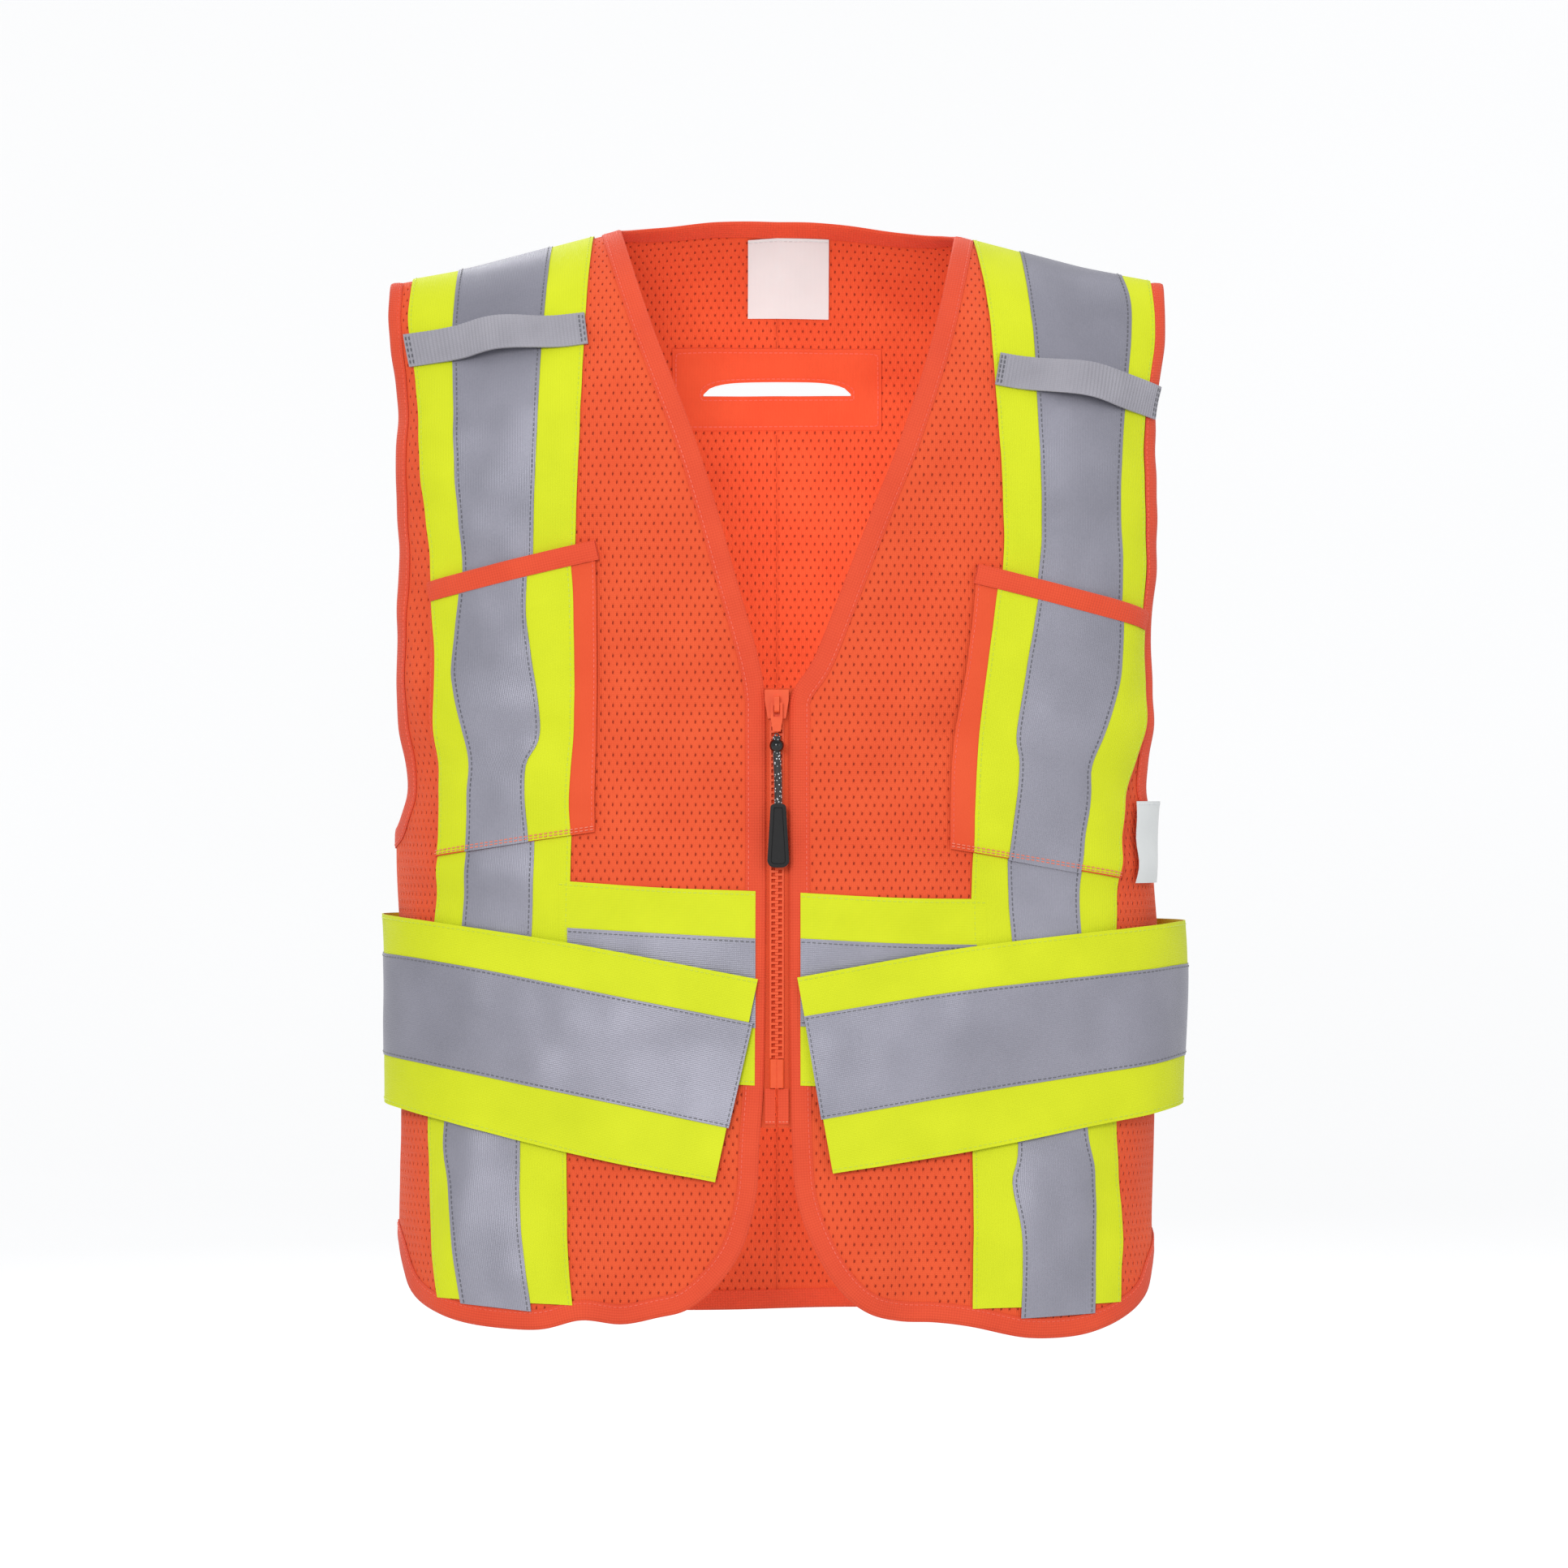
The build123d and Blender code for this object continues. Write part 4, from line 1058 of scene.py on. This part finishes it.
def front_belt(side):
    body = "belt_" + side
    tape_pair(("belt_lime_" + side, "belt_silver_" + side), (BELT[side], BELT_SILVER[side]),
              ("belt_strap_" + side, "belt_reflective_" + side), belt_lift, BELT_SILVER_RISE, body,
              False, "side", BELT_THICK, 1.6)
    end = cut_line("belt_silver_" + side, row=0) + (SIDES[side] * 1.6, 0)
    piece = stitches("belt_end_stitching_" + side, [end], raised(belt_lift, 1.35), dark_thread)
    fix(piece, body)
    sign = SIDES[side]
    hooks = [[(sign * 20, -470), (sign * 78, -460)], [(sign * 32, -548), (sign * 78, -540)]]
    hook = strip("hook_pad_" + side, hooks[0], hooks[1], raised(belt_lift, -0.9), 0.7, hook_cloth)
    fix(hook, body, ("belt_hook_" + side,), None)


def rear_belt():
    lime = ([(-SIDE_EDGE, -411), (-100, -412), (100, -413), (SIDE_EDGE, -415)],
            [(-SIDE_EDGE, -524), (-100, -522), (100, -522), (SIDE_EDGE, -525)])
    silver = ([(-SIDE_EDGE, -434), (-100, -441), (100, -441), (SIDE_EDGE, -441)],
              [(-SIDE_EDGE, -495), (-100, -493), (100, -493), (SIDE_EDGE, -496)])
    tape_pair(("belt_lime_rear", "belt_silver_rear"), (lime, silver), ("belt_rear", "belt_rear_reflective"),
              belt_lift, BELT_SILVER_RISE, "root", True, None,
              BELT_THICK)


# ------------------------------------------------------------------ microphone tabs
TAB_LINES = {"left": ((131, -86), (218, -104)), "right": ((-113, -62), (-211, -73))}
TAB_HALF = 10.3
TAB_BOW = 9.0
RIB = 2.2


def mic_tab(side):
    """Ribbed webbing, sewn down at its ends and bowed out between them."""
    (x1, z1), (x2, z2) = TAB_LINES[side]
    start, end = (np.array(cloth_from_view([x], [z])).T[0] for x, z in ((x1, z1), (x2, z2)))
    length = np.linalg.norm(end - start)
    count = int(length / RIB * 6)
    share = np.linspace(0, 1, count)
    middle = start + (end - start) * share[:, None]
    across = outward_of(middle)
    wide = np.linspace(-TAB_HALF, TAB_HALF, 9)
    s = middle[:, :1] + across[:, :1] * wide
    t = middle[:, 1:] + across[:, 1:] * wide
    ribs = 0.28 * np.cos(2 * math.pi * share * length / RIB)
    bow = TAB_BOW * np.sin(math.pi * smooth((share - 0.06) / 0.88)) ** 1.3
    edge = 1 - 0.5 * (np.abs(wide) / TAB_HALF) ** 8
    sheet_lift = (3.0 + bow)[:, None] + ribs[:, None] * edge
    webbing = closed_sheet("mic_tab_webbing_" + side, s, t, lambda *_: sheet_lift, 1.3, grey_webbing)
    body = "front_" + side
    fix(webbing, body, ("mic_tab_" + side,), "shoulder")
    rows = []
    for share_along in (0.012, 0.032, 0.968, 0.988):
        here = start + (end - start) * share_along
        rows.append(here + across[0] * np.linspace(-TAB_HALF + 1, TAB_HALF - 1, 12)[:, None])
    fix(stitches("mic_tab_stitching_" + side, rows, 4.45, dark_thread), body, (), "shoulder")


# ------------------------------------------------------------------ labels
def label(name, corners, lift, body, node, back, thread_lift):
    """Blank satin label, stitched along its top."""
    (x1, z1), (x2, z2) = corners
    lean = 0 if back else 4
    edges = [(x1, z1), (x1 - lean, z2)], [(x2, z1), (x2 - lean, z2)]
    piece = strip(name, *edges, lift, 0.35, white_satin, back)
    fix(piece, body, (node,), None)
    top = even_steps(cut_line(name, row=0) - (0, 1.8), 12)
    fix(stitches(name + "_stitching", [top], thread_lift, white_thread, back), body)


# ------------------------------------------------------------------ zip
ZIP_TOP = -276
ZIP_FOOT = -536
ZIP_INNER = 0.9


def zip_tapes(side):
    sign = SIDES[side]

    def lift(s, t):
        return -2.0 + 1.1 * (1 - smooth((np.abs(s) - 5) / 3))
    pair = [[(sign * x, z) for z in (ZIP_TOP, -400, ZIP_FOOT)] for x in (ZIP_INNER, 16)]
    piece = strip("zip_cloth_" + side, *pair, lift, 0.6, zip_weave, step=3.0)
    fix(piece, "front_" + side, ("zip_tape_" + side,), None)
    patch = [[(sign * x, z) for z in (-513, -534)] for x in (ZIP_INNER, 7)]
    piece = strip("zip_end_patch_" + side, *patch, -0.25, 0.9, binding_tape, step=1.5)
    fix(piece, "front_" + side)
    row = even_steps(cut_line("zip_end_patch_" + side, row=-1) + (0, 1.5), 6)
    fix(stitches("zip_end_stitching_" + side, [row], 0.65, salmon_thread, pitch=2.0, dash=1.4),
        "front_" + side)


def paint_node(node, material):
    """Gives a carried-over CAD node its finish."""
    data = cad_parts[node].data
    data.materials.clear()
    data.materials.append(material)


# ------------------------------------------------------------------ pull: bead, cord and grip
PULL_Y = -112.5
CORD_POINTS = [(0, -304.5), (0, -316.5), (0.9, -330.5), (0.9, -344.5)]
CORD_RADIUS = 2.3
BEAD_HEIGHT = -310.0
BEAD_RADIUS = 4.3
GRIP_TOP = -344.5
GRIP_LENGTH = 37.5
GRIP_DEPTH = 5.0
# Across the grip at its foot and at its top
GRIP_WIDTHS = (13.4, 9.0)
EYE_HEIGHT = -304.0
EYE_RADIUS = 1.1
EYE_CORD_RADIUS = 0.4


def select_none():
    bpy.ops.object.select_all(action="DESELECT")


def settle(piece):
    """Puts a piece's place into its mesh."""
    select_none()
    piece.select_set(True)
    bpy.context.view_layer.objects.active = piece
    bpy.ops.object.transform_apply(location=True, rotation=True, scale=True)


def apply_modifiers(piece):
    bpy.context.view_layer.objects.active = piece
    for modifier in list(piece.modifiers):
        bpy.ops.object.modifier_apply(modifier=modifier.name)


def pull_bead():
    """Glossy bead: a slightly flattened ball with a countersunk hollow at top and bottom for the cord."""
    select_none()
    bpy.ops.mesh.primitive_uv_sphere_add(segments=40, ring_count=24, radius=BEAD_RADIUS * MM,
                                         location=(0, PULL_Y * MM, BEAD_HEIGHT * MM))
    bead = bpy.context.object
    bead.name = "pull_bead_glossy"
    bm = bmesh.new()
    bm.from_mesh(bead.data)
    radius = BEAD_RADIUS * MM
    for vert in [v for v in bm.verts if abs(v.co.z) > radius * 0.8]:
        flat = math.hypot(vert.co.x, vert.co.y)
        vert.co.z = math.copysign(radius * (0.8 - 0.25 * (1 - flat / (radius * 0.62))), vert.co.z)
    bm.to_mesh(bead.data)
    bm.free()
    bead.data.materials.append(black_abs)
    bpy.ops.object.shade_smooth()
    settle(bead)
    return bead


def pull_grip():
    """Rubbery grip: tapered block, rounded all over, with a shallow blank recess on its face."""
    middle = GRIP_TOP - GRIP_LENGTH / 2
    select_none()
    bpy.ops.mesh.primitive_cube_add(size=1, location=(0.9 * MM, PULL_Y * MM, middle * MM))
    grip = bpy.context.object
    grip.name = "pull_grip_rubber"
    grip.scale = (GRIP_WIDTHS[0] * MM, GRIP_DEPTH * MM, GRIP_LENGTH * MM)
    bpy.ops.object.transform_apply(location=False, rotation=False, scale=True)
    bpy.ops.object.mode_set(mode="EDIT")
    bpy.ops.mesh.select_all(action="DESELECT")
    bm = bmesh.from_edit_mesh(grip.data)
    for vert in bm.verts:
        if vert.co.z > 0:
            vert.co.x *= GRIP_WIDTHS[1] / GRIP_WIDTHS[0]
    upright = [e for e in bm.edges if abs(e.verts[0].co.x - e.verts[1].co.x) < MM]
    foot = [e for e in upright if max(v.co.z for v in e.verts) < 0]
    top = [e for e in upright if min(v.co.z for v in e.verts) > 0]
    bmesh.ops.bevel(bm, geom=foot, offset=4.6 * MM, segments=8, profile=0.5, affect="EDGES")
    bmesh.ops.bevel(bm, geom=top, offset=2.0 * MM, segments=5, profile=0.5, affect="EDGES")
    bm.normal_update()
    for face in bm.faces:
        face.select = face.normal.y < -0.9
    bmesh.update_edit_mesh(grip.data)
    bpy.ops.mesh.inset(thickness=2.0 * MM, depth=0)
    bpy.ops.mesh.inset(thickness=0.5 * MM, depth=-0.45 * MM)
    bpy.ops.object.mode_set(mode="OBJECT")
    bevel = grip.modifiers.new("rounding", "BEVEL")
    bevel.width = 1.0 * MM
    bevel.segments = 4
    bevel.limit_method = "ANGLE"
    bevel.angle_limit = math.radians(50)
    apply_modifiers(grip)
    grip.data.materials.append(black_rubber)
    bpy.ops.object.shade_smooth_by_angle(angle=math.radians(40))
    settle(grip)
    return grip


def pull_eye():
    """Small loop of cord that holds the pull to the slider's tab."""
    select_none()
    bpy.ops.mesh.primitive_torus_add(major_radius=EYE_RADIUS * MM, minor_radius=EYE_CORD_RADIUS * MM,
                                     major_segments=32, minor_segments=12,
                                     location=(0, PULL_Y * MM, EYE_HEIGHT * MM), rotation=(math.pi / 2, 0, 0))
    eye = bpy.context.object
    eye.name = "pull_eye_loop"
    eye.data.materials.append(cord_braid)
    bpy.ops.object.shade_smooth()
    settle(eye)
    return eye


def pull():
    bead, grip, eye = pull_bead(), pull_grip(), pull_eye()
    for piece, slot, replaced in ((bead, "bead", ("pull_bead",)), (grip, "grip", ("pull_grip",)),
                                  (eye, "cord", ())):
        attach(piece, "pull")
        if replaced:
            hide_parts(*replaced)
    curve = bpy.data.curves.new("pull_cord_line", "CURVE")
    curve.dimensions = "3D"
    line = curve.splines.new("NURBS")
    line.points.add(len(CORD_POINTS) - 1)
    for point, (x, z) in zip(line.points, CORD_POINTS):
        point.co = (x * MM, PULL_Y * MM, z * MM, 1)
    line.order_u = 3
    line.use_endpoint_u = True
    curve.bevel_depth = CORD_RADIUS * MM
    curve.bevel_resolution = 6
    curve.resolution_u = 16
    curve.use_fill_caps = True
    curve.materials.append(cord_braid)
    cord = bpy.data.objects.new("pull_cord_braided", curve)
    bpy.context.scene.collection.objects.link(cord)
    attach(cord, "pull")
    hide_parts("pull_cord")


# ------------------------------------------------------------------ assembly
for side in SIDES:
    back_panel(side)
    front_panel(side)
    front_edges(side)
    arm_edges(side)
    body_tapes(side)
    pocket(side)
    front_belt(side)
    mic_tab(side)
    zip_tapes(side)
    paint_node("zip_teeth_" + side, orange_acetal)
back_edges()
back_slot()
rear_belt()
label("neck_label_satin", ((-18, 1), (32, -46)), -1.6, "root", "neck_label", True, -2.0)
label("side_label_satin", ((214, -343), (227.5, -392)), 4.6, "front_left", "side_label", False, 4.9)
for node in ("zip_box_left", "zip_pin_right", "zip_slider", "pull_tab"):
    paint_node(node, orange_acetal)
pull()


# ------------------------------------------------------------------ light, floor and camera
def backdrop():
    """Pale bowl: a flat floor that bends up into a wall all round, so that it lies behind every view."""
    profile = curve_through([(0.01, -0.95), (5.0, -0.95), (7.0, -0.80), (8.2, 0.4), (8.6, 3.0), (8.7, 6.0)],
                            40)
    around = 96
    turn = np.linspace(0, 2 * math.pi, around, endpoint=False)
    rings = [[(r * math.cos(a), r * math.sin(a), z) for a in turn] for r, z in profile]
    index = np.arange(len(rings) * around).reshape(len(rings), around)
    after = np.roll(index, -1, axis=1)
    faces = np.stack([index[:-1], after[:-1], after[1:], index[1:]], -1).reshape(-1, 4).tolist()
    faces.append(index[0].tolist())
    material, tree, shader = start_material("painted_plaster_matt", 0.9)
    finish_surface(tree, shader, blobs(tree, 1.5)[0], "F6F6F4", "FBFBFA")
    shader.inputs["Emission Color"].default_value = linear("FFFFFF")
    shader.inputs["Emission Strength"].default_value = 0.3
    bowl = new_piece("backdrop", np.array(rings), faces, material)
    bowl.visible_shadow = False
    bowl.visible_diffuse = False


def area_light(name, where, size, power, target=(0, 0, -0.33)):
    data = bpy.data.lights.new(name, "AREA")
    data.shape = "RECTANGLE"
    data.size, data.size_y = size
    data.energy = power
    lamp = bpy.data.objects.new(name, data)
    bpy.context.scene.collection.objects.link(lamp)
    lamp.location = where
    target = mathutils.Vector(target)
    lamp.rotation_euler = (target - lamp.location).to_track_quat("-Z", "Y").to_euler()
    lamp.visible_camera = False


def world_light():
    world = bpy.data.worlds.new("studio")
    bpy.context.scene.world = world
    world.use_nodes = True
    sky = world.node_tree.nodes["Background"]
    sky.inputs["Color"].default_value = linear("F6F7FA")
    sky.inputs["Strength"].default_value = 0.72


def camera():
    data = bpy.data.cameras.new("camera")
    data.sensor_width = 36
    data.lens = 170.6
    data.clip_end = 50
    view = bpy.data.objects.new("camera", data)
    bpy.context.scene.collection.objects.link(view)
    view.location = (0.0043, -4.5, -0.3327)
    view.rotation_euler = (math.pi / 2, 0, 0)
    bpy.context.scene.camera = view


bpy.context.scene.view_settings.view_transform = "Standard"
backdrop()
world_light()
area_light("key", (-0.8, -4.0, 0.7), (1.2, 1.2), 72)
area_light("fill", (2.4, -2.6, 0.2), (2.0, 2.0), 12)
area_light("top", (0.2, 0.4, 2.2), (2.4, 1.6), 14)
area_light("rear", (-1.6, 3.0, 1.8), (1.6, 1.6), 45)
# Small lamp inside the vest, so that its back shows through the neck and the open foot
area_light("inside", (0, -0.02, -0.36), (0.14, 0.58), 0.3, (0, 1, -0.36))
camera()
